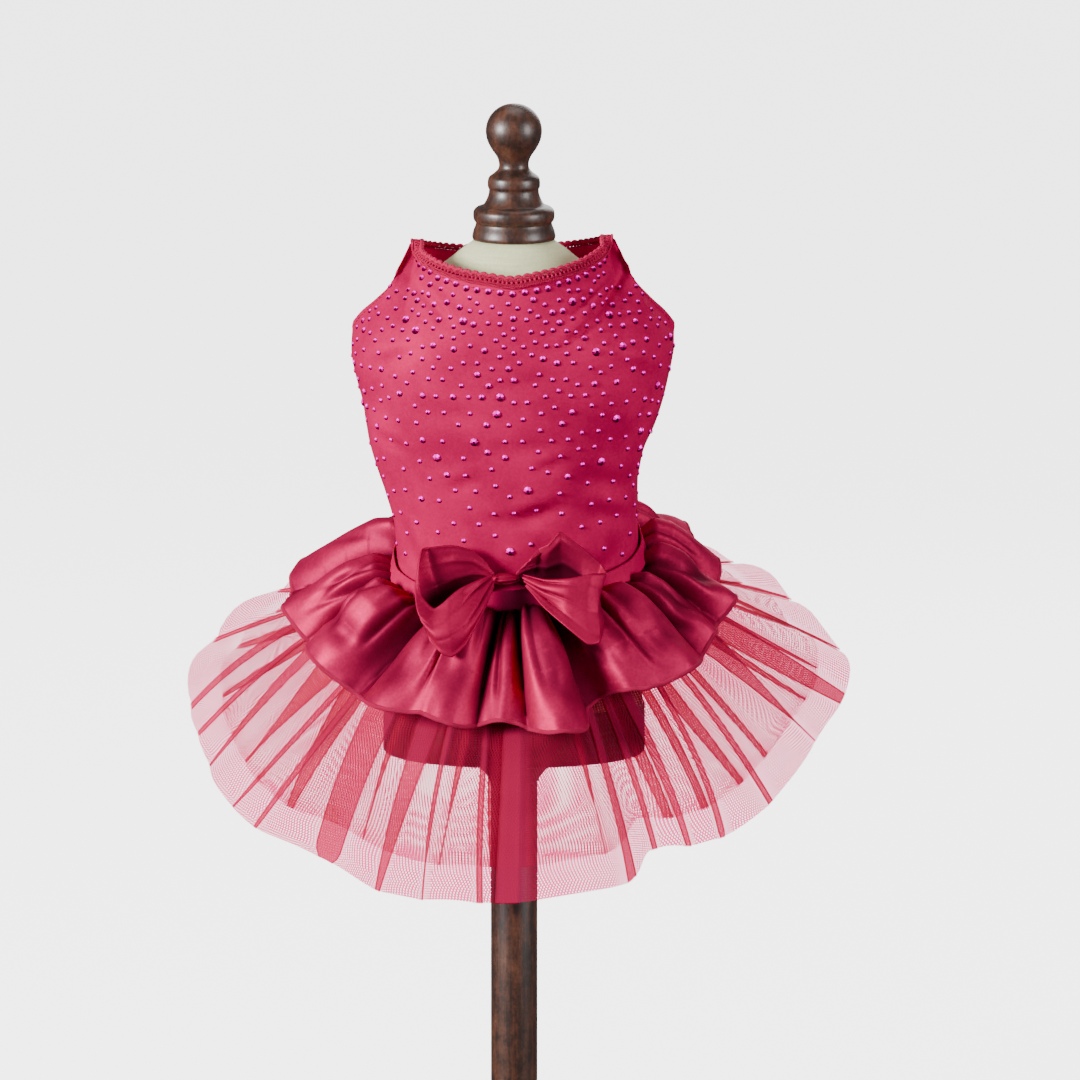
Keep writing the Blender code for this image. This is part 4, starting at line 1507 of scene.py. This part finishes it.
def ruffle_relief(turn, shares):
    """How far the ruffle stands up or down at each angle and share, and how much painted shade it has."""
    radians = np.radians(turn)
    uneven = np.sin(radians * 5 + 1.0) + np.sin(radians * 11 + 2.2)
    gathers = np.sin(radians * GATHERS + 1.6 * uneven)
    gathers = gathers * np.exp(-shares / GATHER_FADE) * np.minimum(shares / 0.03, 1.0)
    flute, height = flutes(turn + 3.0 * np.sin(radians * 3.0 + 0.6) * (1.0 - shares))
    outward = np.clip((shares - 0.35) / 0.65, 0.0, 1.0)
    swell = np.minimum(shares / 0.16, 1.0) ** 0.8 * (1.0 - 0.72 * outward)
    tucks = np.sin(radians * TUCKS + 2.0 * np.sin(radians * 7)) * bell((shares - 0.16) / 0.14)
    rise = GATHER_HEIGHT * gathers + FLUTE_RISE * height * (flute - FLUTE_MEAN) * swell
    rise = rise + TUCK_HEIGHT * tucks * flute
    crease_shade = 0.0
    for middle, at, half, length, deep in RUFFLE_DENTS:
        dent = bell(angle_between(turn, middle) / half, (shares - at) / length)
        rise = rise - DENT_SCALE * deep * dent
        crease_shade = crease_shade + DENT_PAINTED_SHADE * deep * dent
    for low, high, reach, deep in ruffle_creases():
        away = angle_between(turn, low + (high - low) * shares)
        sharp = bell(away / 1.3) - 0.5 * bell((away - 3.0) / 1.8) - 0.35 * bell((away + 3.2) / 2.0)
        fade = np.minimum(shares / 0.05, 1.0) / (1.0 + np.exp((shares - reach) / 0.05))
        rise = rise - deep * sharp * fade
        crease_shade = crease_shade + CREASE_PAINTED_SHADE * deep * bell(away / 1.6) * fade
    pucker = np.sin(radians * PUCKERS + 1.4 * np.sin(radians * 13))
    pucker = pucker * np.exp(-(1.0 - shares) / PUCKER_FADE)
    # Painted shade: the valleys are painted darkest at the waist, and so is the cloth just under the band and
    # the bow.
    painted_shade = bell(flute / 0.7) * (1.0 - 0.45 * shares) + WAIST_PAINTED_SHADE * bell(shares / 0.10) + crease_shade
    middle, half = BOW_SHADE
    painted_shade = painted_shade + BOW_PAINTED_SHADOW * bell((angle_between(turn, middle) / half) ** 2, shares / 0.3)
    return rise + PUCKER_HEIGHT * pucker, np.clip(painted_shade, 0.0, 1.0)


def ruffle_creases():
    """Creases from the waist, as (angle there, angle at the hem, share that they reach, depth)."""
    maker = random.Random(5)
    creases = list(RUFFLE_CREASES)
    angle = -10.0
    while angle > -190.0:
        hem = angle + maker.uniform(-9.0, 9.0)
        creases.append((angle, hem, maker.uniform(0.3, 0.75), maker.uniform(1.0, 2.2)))
        angle -= maker.uniform(6.0, 13.0)
    return creases


def flutes(turn):
    """The ruffle's flutes at angles: 0 in the valleys to 1 on the crests, and how high each one stands."""
    middles = np.array(sorted(row[0] % 360.0 for row in RUFFLE_VALLEYS if row[1] > FLUTE_PARTED))
    middles = np.concatenate((middles[-1:] - 360.0, middles, middles[:1] + 360.0))
    turn = np.asarray(turn, float) % 360.0
    k = np.clip(np.searchsorted(middles, turn, side="right") - 1, 0, len(middles) - 2)
    span = middles[k + 1] - middles[k]
    share = np.clip((turn - middles[k]) / span, 0.0, 1.0) ** (1.0 + 0.35 * np.sin(k * 2.4))
    high = np.clip(span / 19.0, 0.6, 1.3) * (1.0 + 0.22 * np.sin(k * 4.1 + 1.0))
    return np.sin(math.pi * share) ** FLUTE_SHAPE, high


def build_ruffle(looks):
    """The ruffle and the flat thread round its hem."""
    angles = np.linspace(0.0, 360.0, RUFFLE_COLUMNS, endpoint=False)
    rise, painted_shade = ruffle_relief(angles[None, :], np.linspace(0.0, 1.0, RUFFLE_ROWS + 1)[:, None])
    grid = ruffle_cloth(angles)
    grid = grid + normals_of(grid, ring=True) * rise[..., None]
    cloth = cloth_mesh("ruffle_satin", grid, ring=True, wall=SATIN_WALL, fold=painted_shade)
    finish_piece(cloth, looks["satin_ruffle"], "satin", "ruffle")
    radius, flat, inward = OVERLOCK
    line = grid[-1] + unit(grid[-3] - grid[-1]) * inward
    hem = Tubes()
    hem.add(line, radius, 10, closed=True, flat=flat, outward=normals_of(grid, ring=True)[-2])
    edge = hem.build("ruffle_overlocked_hem")
    return cloth, finish_piece(edge, looks["overlock_thread"], "satin")


def tulle_from(angle, share, below, start, end):
    rearward = max(-math.sin(math.radians(angle)), 0.0)
    drop = TULLE_START + (TULLE_DROP - TULLE_START) * share ** (0.85 - 0.42 * rearward)
    reach = start + (end - start) * share
    return skirt_point(angle, reach, -drop - below, share)


def fold_columns(folds):
    """The net's columns round the skirt, each as (fold number and share of the way to the next one,
    place in the fold, step aside, lift, fold edge, lean of the threads).

    A fold is laid over itself twice: up the front ply, round its edge, back, round again and on.
    Each ply's threads lean their own way. The columns between two folds have no place in one.
    """
    h, edge = PLY_GAP, FOLD_EDGE
    front, middle, rear = PLY_LEANS
    turn = [(math.sin(t) * 0.5, 0.5 + 0.5 * math.cos(t)) for t in np.radians((45, 90, 135))]
    leaving = ((0.0, 1.0), (0.5 * edge, 1.0), (edge, 0.0))
    coming = leaving[::-1]
    path = [(-0.5, 0.0, h, 0.0, front), (0.0, 0.0, h, 0.0, front)]
    path += [(0.5, -aside, h, mark, front) for aside, mark in coming]
    path += [(0.5, x * h, y * h, 1.0, middle) for x, y in turn]
    path += [(0.5, -aside, 0.0, mark, middle) for aside, mark in leaving]
    path += [(-0.5, aside, 0.0, mark, middle) for aside, mark in coming]
    path += [(-0.5, -x * h, y * h - h, 1.0, rear) for x, y in turn]
    path += [(-0.5, aside, -h, mark, rear) for aside, mark in leaving]
    path += [(0.0, 0.0, -h, 0.0, rear), (0.5, 0.0, -h, 0.0, rear)]
    columns = []
    for k in range(len(folds)):
        columns += [(k, *step) for step in path]
        for i in range(1, SPREAD_COLUMNS + 1):
            columns.append((k + i / (SPREAD_COLUMNS + 1), None, 0.0, 0.0, 0.0, 0.0))
    return columns


def crowding(angle, share, edge=0.0):
    """How much closer the net's threads lie where the gathers and small ripples draw them in, and how much
    thinner they are drawn in front of the plate as painted shade.
    """
    turn = math.radians(angle)
    gathered = 0.30 * max(0.62 - share, 0.0) / 0.36
    ripple = 0.10 * math.sin(turn * 29 + 2.0 * math.sin(turn * 5)) + 0.08 * math.sin(turn * 47 + share * 2.0)
    sides = -0.05 * math.cos(turn) ** 2
    # Painted shade: the net is thinned in front of the plate, under the ruffle, so that it reads darker
    # there, where the ruffle's shadow falls.
    front = 0.52 * math.exp(-((angle_between(angle, 95.0) / 38.0) ** 4))
    front *= math.exp(-((share - 0.49) / 0.13) ** 2)
    return gathered + ripple * (1.25 - share) + sides * (1.0 - 0.6 * share) - front * (1.0 - edge)


def fold_middle(folds, k, share):
    """A fold's middle and width at a share of the cloth, in degrees."""
    around = k // len(folds) * 360.0
    low, high, wide, narrow, reach, _ = folds[k % len(folds)]
    middle = low + (high - low) * max((share - TULLE_NEAR) / (1.0 - TULLE_NEAR), -0.25)
    along = max(share - TULLE_NEAR, 0.0) / max(reach - TULLE_NEAR, 0.05)
    width = wide + (narrow - wide) * min(along, 1.0) ** 0.8
    if share > reach:
        width *= math.exp(-(share - reach) / FOLD_FADE)
    return middle + around, max(width, FOLD_LEAST)


def tulle_grid(folds, length, below):
    """A net layer: its points, how crowded and how folded it is there, and its columns' thread lean."""
    columns = fold_columns(folds)
    angles = np.linspace(0.0, 360.0, 361)
    starts = [body_reach(angle, -TULLE_START) + SKIRT_EASE for angle in angles]
    ends = [TULLE_REACH * round_table(TULLE_HEM, angle) for angle in angles]
    grid, crowd, lifts = [], [], []
    for row in range(TULLE_ROWS + 1):
        share = TULLE_FIRST + (length - TULLE_FIRST) * row / TULLE_ROWS
        middles = [fold_middle(folds, k, share) for k in range(len(folds) + 1)]
        for at, place, aside, lift, edge, _ in columns:
            k = int(at)
            middle, width = middles[k]
            if place is None:
                after, after_width = middles[k + 1]
                low, high = middle + width / 2, after - after_width / 2
                angle = low + (high - low) * (at - k)
                lifts.append(math.sin(math.pi * (at - k)) * (high - low) * SPREAD_BULGE * share)
                crowd.append(crowding(angle, share))
            else:
                angle = middle + place * width
                lifts.append(lift * min(share / PLIES_APART_AT, 1.0))
                density = min(folds[k % len(folds)][5], 1.0)
                crowded = PLY_CROWDING * density * (1.0 - edge) + EDGE_CROWDING * edge
                crowd.append(crowding(angle, share, edge) + crowded)
            start, end = (np.interp(angle % 360.0, angles, values) for values in (starts, ends))
            reach = start + (end - start) * share
            room = FOLD_ROOM * math.radians(width) * reach
            if place:
                angle += math.degrees(math.copysign(min(abs(aside), room), aside) / reach)
            grid.append(tulle_from(angle, share, below, start, end))
    shape = (TULLE_ROWS + 1, len(columns))
    grid = np.reshape(grid, (*shape, 3))
    out = grid - SKIRT_MIDDLE
    out -= (out @ AXIS)[..., None] * AXIS
    up, outward = LIFT_WAY
    normal = AXIS * up + unit(out) * outward
    plies = [0.0 if place is None else 1.0 - edge for _, place, _, _, edge, _ in columns]
    lean = np.array([column[5] for column in columns])
    grid = grid + normal * np.reshape(lifts, (*shape, 1))
    return grid, np.reshape(crowd, shape), np.broadcast_to(plies, shape), lean


def build_tulle(looks):
    pieces = []
    for name, folds, length, below, slant, node in (
        ("tulle_outer_net", OUTER_FOLDS, 1.0, 0.0, 0.0, "tulle_outer"),
        ("tulle_inner_net", INNER_FOLDS, INNER_SHARE, INNER_BELOW, 0.55, "tulle_inner"),
    ):
        grid, fold, ply, lean = tulle_grid(folds, length, below)
        # The inner layer thins out towards its hem and the outer one is closer below it,
        # so that the inner hem shows only faintly.
        shares = np.linspace(0.0, length, len(grid))[:, None]
        if length < 1.0:
            much, start, over = INNER_THINS
            fold = fold - much * np.clip((shares - start) / over, 0.0, 1.0)
        else:
            much, over = OUTER_CLOSES
            fold = fold + much * np.clip((shares - INNER_SHARE + over) / over, 0.0, 1.0)
        obj = cloth_mesh(name, grid, ring=True, gathered=True, fold=fold, slant=slant + lean, ply=ply)
        pieces.append(finish_piece(obj, looks["tulle_net"], "net", node))
    return pieces


# Bow

BOW_LOOP_LEFT = (
    # top x, top y, top z, bottom x, bottom y, bottom z
    (-9.5, -40.0, 322.6, -9.5, -40.0, 318.4),
    (-15.0, -40.4, 329.0, -14.5, -38.6, 315.4),
    (-21.5, -42.0, 334.4, -20.5, -37.9, 312.0),
    (-30.5, -43.6, 337.2, -29.0, -38.4, 307.6),
    (-40.5, -42.4, 336.2, -37.0, -43.0, 303.0),
    (-44.4, -45.0, 335.4, -43.6, -53.0, 300.0),
    (-46.6, -50.0, 325.0, -44.4, -59.0, 297.6),
    (-46.4, -55.0, 314.4, -42.0, -65.5, 292.6),
    (-40.5, -58.6, 308.2, -36.4, -68.6, 287.2),
    (-33.0, -58.8, 313.2, -30.6, -68.8, 285.4),
    (-25.0, -56.0, 318.0, -24.0, -66.0, 290.6),
    (-17.0, -51.0, 321.4, -17.0, -57.0, 303.5),
    (-10.5, -44.8, 323.4, -10.5, -46.0, 317.4),
)
BOW_LOOP_RIGHT = (
    (1.5, -40.0, 323.2, 1.5, -40.0, 318.8),
    (6.0, -42.8, 330.0, 6.5, -38.8, 315.6),
    (11.5, -41.0, 335.4, 12.5, -37.9, 312.4),
    (16.5, -44.0, 338.6, 18.0, -38.0, 309.4),
    (23.0, -43.4, 344.4, 25.5, -39.4, 306.4),
    (34.0, -43.0, 336.2, 35.0, -46.5, 302.4),
    (42.0, -44.6, 328.6, 42.0, -57.0, 297.6),
    (43.6, -52.0, 325.2, 40.6, -66.5, 292.6),
    (36.5, -56.4, 325.6, 35.5, -68.8, 292.4),
    (27.0, -56.2, 323.4, 25.0, -66.0, 301.0),
    (16.0, -52.2, 322.0, 13.5, -57.6, 309.8),
    (5.0, -45.2, 323.2, 5.5, -47.2, 317.6),
)
BOW_KNOT = (-4.0, -40.2, 320.2)
BOW_KNOT_SIZE = (13.6, 10.9, 5.4)
KNOT_WRAP = 1.2
BOW_EASE = 0.3
BOW_BULGE = 2.0
BOW_ROWS = 40
BOW_STEPS = 12
BOW_PLEAT = 3.6
BOW_WAVE = 2.0
BOW_EDGE_ROLL = 0.5
# How much painted shade the loops' mouths and pleats get.
MOUTH_PAINTED_SHADE = 0.85
PLEAT_PAINTED_SHADE = 0.6
KNOT_ROWS = 16
KNOT_COLUMNS = 60
KNOT_PLEATS = 6
KNOT_PLEAT = 0.13
KNOT_WALL = 0.5


def bow_loop_grid(table, phase, shade):
    """A loop of the bow, from the knot along its back, round its end and back along its front.

    shade is how far up the loop's back the painted shade of its mouth reaches.
    """
    steps = BOW_STEPS * (len(table) - 1)
    top = through([row[:3] for row in table], steps, BOW_EASE)
    bottom = through([row[3:] for row in table], steps, BOW_EASE)
    middle = sum(top) / len(top)
    knot = np.array(BOW_KNOT)
    grid, painted_shade = [], []
    for row in range(BOW_ROWS + 1):
        share = row / BOW_ROWS
        line, painted_shade_row = [], []
        for step, (upper, lower) in enumerate(zip(top, bottom)):
            point = lower + (upper - lower) * share
            out = point - middle
            out[2] = 0.0
            wide = np.linalg.norm(upper - lower)
            push = BOW_BULGE * math.sin(math.pi * share) * wide / 40.0
            away = np.linalg.norm(point - knot)
            turn = step / steps
            # A few pleats run out from the knot, each a sharp valley between two round ridges.
            wave = math.sin(2 * math.pi * share * 1.6 + phase + 1.6 * math.sin(turn * 5.0))
            pleat = (1.0 - abs(wave)) ** 2 * math.exp(-max(away - 9.0, 0.0) / 18.0)
            broad = math.sin(2 * math.pi * share * 0.9 + phase * 2.0 + turn * 6.0)
            push += -BOW_PLEAT * pleat * min(away / 14.0, 1.0) + BOW_WAVE * broad * min(away / 34.0, 1.0)
            rolled = math.exp(-(((share - 0.97) / 0.05) ** 2)) + math.exp(-(((share - 0.03) / 0.05) ** 2))
            line.append(point + out / max(np.linalg.norm(out), 1.0) * (push + BOW_EDGE_ROLL * rolled))
            # Painted shade, in the loop's mouth and in the pleats of its front.
            mouth = min(max((shade - share) / 0.3, 0.0), 1.0) / (1.0 + math.exp((turn - 0.52) * 40.0))
            painted_shade_row.append(min(MOUTH_PAINTED_SHADE * mouth + PLEAT_PAINTED_SHADE * pleat * (turn > 0.5), 1.0))
        grid.append(line)
        painted_shade.append(painted_shade_row)
    return np.array(grid), painted_shade


def build_bow(looks):
    """The two loops and the knot that holds them."""
    pieces = []
    for name, table, phase, shade, node in (
        ("bow_loop_left_satin", BOW_LOOP_LEFT, 0.4, 0.6, "bow_loop_left"),
        ("bow_loop_right_satin", BOW_LOOP_RIGHT, 2.1, 0.85, "bow_loop_right"),
    ):
        grid, painted_shade = bow_loop_grid(table, phase, shade)
        obj = cloth_mesh(name, grid, wall=SATIN_WALL, fold=painted_shade)
        pieces.append(finish_piece(obj, looks["satin_bow"], "satin", node))
    obj = cloth_mesh("bow_knot_satin", knot_grid(), ring=True, wall=KNOT_WALL, side=-1.0)
    return *pieces, finish_piece(obj, looks["satin_bow"], "satin", "bow_knot")


def knot_grid():
    """The knot: a pleated roll round the bow's middle, drawn in at both ends."""
    knot = []
    for row in range(KNOT_ROWS + 1):
        tilt = KNOT_WRAP * (row / (KNOT_ROWS / 2) - 1)
        line = []
        for column in range(KNOT_COLUMNS):
            turn = 2 * math.pi * column / KNOT_COLUMNS
            pleat = 1.0 + KNOT_PLEAT * math.cos(KNOT_PLEATS * turn + 2.0 * tilt) * math.cos(tilt)
            around = math.cos(tilt) * pleat
            across = math.sin(tilt) / math.sin(KNOT_WRAP)
            unit_point = np.array((across, math.cos(turn) * around, math.sin(turn) * around))
            line.append(np.array(BOW_KNOT) + unit_point * np.array(BOW_KNOT_SIZE) / 2)
        knot.append(line)
    return knot


def close_poles(obj):
    """Merges doubles, which closes a shape whose end rows each lie in one point, and faces it out."""
    select_only(obj)
    bpy.ops.object.mode_set(mode="EDIT")
    bpy.ops.mesh.select_all(action="SELECT")
    bpy.ops.mesh.remove_doubles(threshold=0.00001)
    bpy.ops.mesh.normals_make_consistent(inside=False)
    bpy.ops.object.mode_set(mode="OBJECT")
    obj.select_set(False)


# Form and stand

FINIAL_PROFILE = (
    # radius, height
    (0.0, 553.2),
    (4.8, 552.4),
    (9.3, 549.8),
    (12.6, 545.6),
    (14.0, 540.4),
    (13.4, 535.2),
    (11.2, 530.6),
    (8.6, 526.8),
    (7.5, 523.6),
    (7.7, 520.8),
    (9.6, 518.6),
    (12.2, 516.6),
    (13.0, 514.6),
    (13.0, 511.6),
    (12.4, 510.0),
    (13.0, 506.6),
    (15.2, 502.6),
    (18.2, 501.4),
    (20.0, 499.6),
    (20.3, 497.0),
    (19.9, 494.9),
    (19.0, 493.6),
    (19.2, 492.2),
    (20.2, 489.6),
    (20.8, 486.8),
    (20.4, 485.2),
    (0.0, 485.2),
)
TORSO_SECTIONS = (
    # height, half width, half depth, shift back
    (484.9, 19.8, 19.8, 0.0),
    (480.0, 26.5, 24.0, 0.0),
    (474.0, 34.0, 28.4, 0.0),
    (466.0, 45.5, 34.0, 0.0),
    (456.0, 57.0, 40.0, 0.0),
    (446.0, 68.0, 46.6, 0.0),
    (436.0, 76.2, 50.2, 0.0),
    (425.0, 76.0, 50.3, 0.0),
    (404.0, 71.0, 48.2, 0.0),
    (391.0, 66.2, 45.2, 0.0),
    (375.0, 60.0, 41.4, 0.0),
    (358.0, 57.6, 36.8, 0.0),
    (343.0, 55.8, 33.2, 0.0),
    (325.0, 54.8, 30.4, 0.0),
    (308.0, 55.0, 29.4, 1.0),
    (292.0, 57.5, 33.0, 3.0),
    (275.0, 61.5, 42.0, 1.5),
    (252.4, 64.6, 50.6, 0.0),
)
PLATE_HALF_WIDTH = 65.5
PLATE_HALF_DEPTH = 52.0
PLATE_TOP = 252.1
PLATE_BOTTOM = 226.2
COLLAR_PROFILE = (
    (0.0, 225.9),
    (21.0, 225.9),
    (20.6, 222.6),
    (18.4, 219.6),
    (15.2, 216.2),
    (12.8, 213.2),
    (12.4, 211.2),
    (0.0, 211.2),
)
POLE_PROFILE = ((0.0, 210.9), (11.7, 210.9), (11.7, 27.3), (0.0, 27.3))
BASE_PROFILE = (
    (0.0, 27.0),
    (15.6, 27.0),
    (17.2, 25.6),
    (18.0, 23.0),
    (21.0, 21.8),
    (88.0, 20.0),
    (97.0, 18.2),
    (102.6, 14.6),
    (105.0, 9.6),
    (105.0, 4.0),
    (103.6, 1.2),
    (102.0, 0.0),
    (0.0, 0.0),
)
TURNING_STEPS = 96
# The step on the plate's faces: how far in it is, and how high.
PLATE_STEP = (1.6, 1.1)
PLATE_EDGE = 1.3
PLATE_SIDES = 128
FORM_COLUMNS = 144
FORM_ROWS = 110
# Where the form's seams are, in degrees from its right side.
FORM_SEAMS = (0.0, 90.0, 180.0)
SEAM_GROOVE = 0.35
SEAM_HALF_WIDTH = 0.9
PER_DEGREE = 0.0175


def rounded(profile, steps):
    """A turned profile with a smooth line between its first and last flat ends."""
    inner = [(r, 0.0, z) for r, z in profile[:-1]]
    return [(p[0], p[2]) for p in through(inner, steps * (len(inner) - 1))] + [profile[-1]]


def turned(name, profile, look, node, bevel=0.0):
    """A turned piece: its outline is drawn point by point in edit mode, then spun round the pole."""
    deselect_all()
    points = [Vector((max(r, 0.0) * MM, 0.0, z * MM)) for r, z in profile]
    bpy.ops.mesh.primitive_plane_add(size=MM, location=points[0])
    obj = bpy.context.object
    obj.name = obj.data.name = name
    bpy.ops.object.mode_set(mode="EDIT")
    bpy.ops.mesh.merge(type="CENTER")
    for here, there in zip(points, points[1:]):
        bpy.ops.mesh.extrude_region_move(TRANSFORM_OT_translate={"value": tuple(there - here)})
    bpy.ops.mesh.select_all(action="SELECT")
    bpy.ops.mesh.spin(steps=TURNING_STEPS, angle=2 * math.pi, center=(0.0, 0.0, 0.0), axis=(0.0, 0.0, 1.0))
    bpy.ops.mesh.select_all(action="SELECT")
    bpy.ops.mesh.remove_doubles(threshold=0.00002)
    bpy.ops.mesh.normals_make_consistent(inside=False)
    bpy.ops.object.mode_set(mode="OBJECT")
    settle(obj)
    eased_edges(obj, bevel, 3, 25.0)
    return finish_piece(obj, look, "dark_wood", node)


def build_plate(looks):
    """The oval plate under the form: a disc, drawn in to a step on both faces, with eased edges."""
    deselect_all()
    height = PLATE_TOP - PLATE_BOTTOM
    middle = (PLATE_BOTTOM + height / 2) * MM
    bpy.ops.mesh.primitive_cylinder_add(
        vertices=PLATE_SIDES, radius=MM, depth=height * MM, location=(0.0, 0.0, middle)
    )
    obj = bpy.context.object
    obj.name = obj.data.name = "form_plate_wood"
    obj.scale = (PLATE_HALF_WIDTH, PLATE_HALF_DEPTH, 1.0)
    settle(obj)
    obj.select_set(True)
    bpy.ops.object.mode_set(mode="EDIT")
    bpy.ops.mesh.select_all(action="DESELECT")
    mesh = bmesh.from_edit_mesh(obj.data)
    for face in mesh.faces:
        face.select_set(abs(face.normal.z) > 0.9)
    bmesh.update_edit_mesh(obj.data)
    inward, upward = PLATE_STEP
    bpy.ops.mesh.inset(thickness=inward * MM, depth=upward * MM)
    bpy.ops.mesh.select_all(action="SELECT")
    bpy.ops.transform.resize(value=(1.0, 1.0, height / (height + 2 * upward)))
    bpy.ops.object.mode_set(mode="OBJECT")
    eased_edges(obj, PLATE_EDGE, 4)
    finish_piece(obj, looks["wood_flat"], "dark_wood", "form_base_plate")


def build_form(looks):
    """The form's covered body, with its side seams and the seam down its rear as shallow grooves."""
    low, high = TORSO_SECTIONS[-1][0], TORSO_SECTIONS[0][0]
    grid = []
    for row in range(FORM_ROWS + 1):
        height = low + (high - low) * row / FORM_ROWS
        width, depth, back = (smooth_table(TORSO_SECTIONS, height, k) for k in (1, 2, 3))
        line = []
        for column in range(FORM_COLUMNS):
            turn = 2 * math.pi * column / FORM_COLUMNS
            groove = 0.0
            for seam in FORM_SEAMS:
                away = angle_between(math.degrees(turn), seam) * width * PER_DEGREE
                groove += SEAM_GROOVE * math.exp(-((away / SEAM_HALF_WIDTH) ** 2))
            line.append(((width - groove) * math.cos(turn), (depth - groove) * math.sin(turn) + back, height))
        grid.append(line)
    poles = [[(0.0, 0.0, end)] * FORM_COLUMNS for end in (low, high)]
    obj = cloth_mesh("form_linen", [poles[0], *grid, poles[1]], ring=True)
    close_poles(obj)
    finish_piece(obj, looks["cream_linen"], "linen", "form_torso")


def build_stand(looks):
    turned("finial_wood", rounded(FINIAL_PROFILE, 4), looks["wood_mottled"], "neck_finial")
    build_plate(looks)
    turned("collar_wood", COLLAR_PROFILE, looks["wood_upright"], "pole_collar", bevel=0.5)
    turned("pole_wood", POLE_PROFILE, looks["wood_upright"], "pole", bevel=0.6)
    turned("base_wood", BASE_PROFILE, looks["wood_flat"], "stand_base", bevel=0.6)


# Stitching and the rear closure

STITCH_PITCH = 2.6
STITCH_LENGTH = 1.9
STITCH_RADII = (0.10, 0.17, 0.17, 0.10)
STITCH_ARCH = (-0.03, 0.22, 0.22, -0.03)
NECK_STITCH = 5.6
FLAP_ROWS = slice(6, -8)
FLAP_HALF = 6
FLAP_WALL = 0.75
FLAP_LIFT = 0.45
FLAP_TOP = 0.78
FLAP_STITCHED = (1, -2)


def stitch_row(tubes, line, normals):
    """A row of short raised stitches along a line that lies on the cloth."""
    lengths = lengths_along(line)
    for i in range(int(lengths[-1] / STITCH_PITCH)):
        at = np.linspace(0.0, STITCH_LENGTH, 4) + i * STITCH_PITCH
        points, normal = (read_along(lengths, values, at) for values in (line, normals))
        tubes.add(points + normal * np.array(STITCH_ARCH)[:, None], STITCH_RADII, 5)


def build_closure(rear, looks):
    """The overlapping strip down the middle of the rear panel: its piece, its outside and its normals."""
    middle = rear.shape[1] // 2
    lines = rear[FLAP_ROWS, middle - FLAP_HALF : middle + FLAP_HALF + 1][:, ::-1]
    normal = normals_of(lines)
    grid = lines + normal * FLAP_LIFT
    obj = cloth_mesh("closure_flap_satin", grid, wall=FLAP_WALL, side=1.0)
    return finish_piece(obj, looks["satin"], "satin", "closure_flap"), grid + normal * FLAP_TOP, normal


def build_stitching(front, rear, flap, flap_normal, looks):
    """Stitches along both panels' armholes, necklines and hems, and down both sides of the strip."""
    tubes = Tubes()
    first, last = NECK_START, front.shape[1] - 1
    runs = (
        (2, first - 3, HEM_STITCH),
        (last - first + 3, last - 2, HEM_STITCH),
        (first + 2, last - first - 2, NECK_STITCH),
    )
    for grid, sign in ((front, 1.0), (rear, -1.0)):
        normal = normals_of(grid) * sign
        below = below_top(grid)
        for start, stop, depth in runs:
            columns = list(range(start, stop))
            at = ([row_at(below, column, depth) for column in columns], columns)
            stitch_row(tubes, grid[at], normal[at])
        stitch_row(tubes, grid[2], normal[2])
    for column in FLAP_STITCHED:
        stitch_row(tubes, flap[:, column], flap_normal[:, column])
    return finish_piece(tubes.build("stitching"), looks["sewing_thread"], "satin")


def build_floor():
    deselect_all()
    bpy.ops.mesh.primitive_plane_add(size=1.0)
    floor = bpy.context.object
    floor.name = floor.data.name = "floor"
    floor.scale = (FLOOR_WIDTH, FLOOR_WIDTH, 1.0)
    settle(floor)
    floor.visible_diffuse = floor.visible_glossy = False
    floor.data.materials.append(floor_look())


def main():
    make_camera()
    make_lights()
    build_floor()
    looks = make_looks()
    front, rear, front_panel, rear_panel = build_bodice(looks)
    braid = build_braid(front, rear, looks)
    stones = build_stones(front, looks)
    band = build_waist_band(looks)
    ruffle, ruffle_hem = build_ruffle(looks)
    outer, inner = build_tulle(looks)
    bow_left, bow_right, bow_knot = build_bow(looks)
    closure, flap, flap_normal = build_closure(rear, looks)
    stitching = build_stitching(front, rear, flap, flap_normal, looks)
    build_form(looks)
    build_stand(looks)


main()
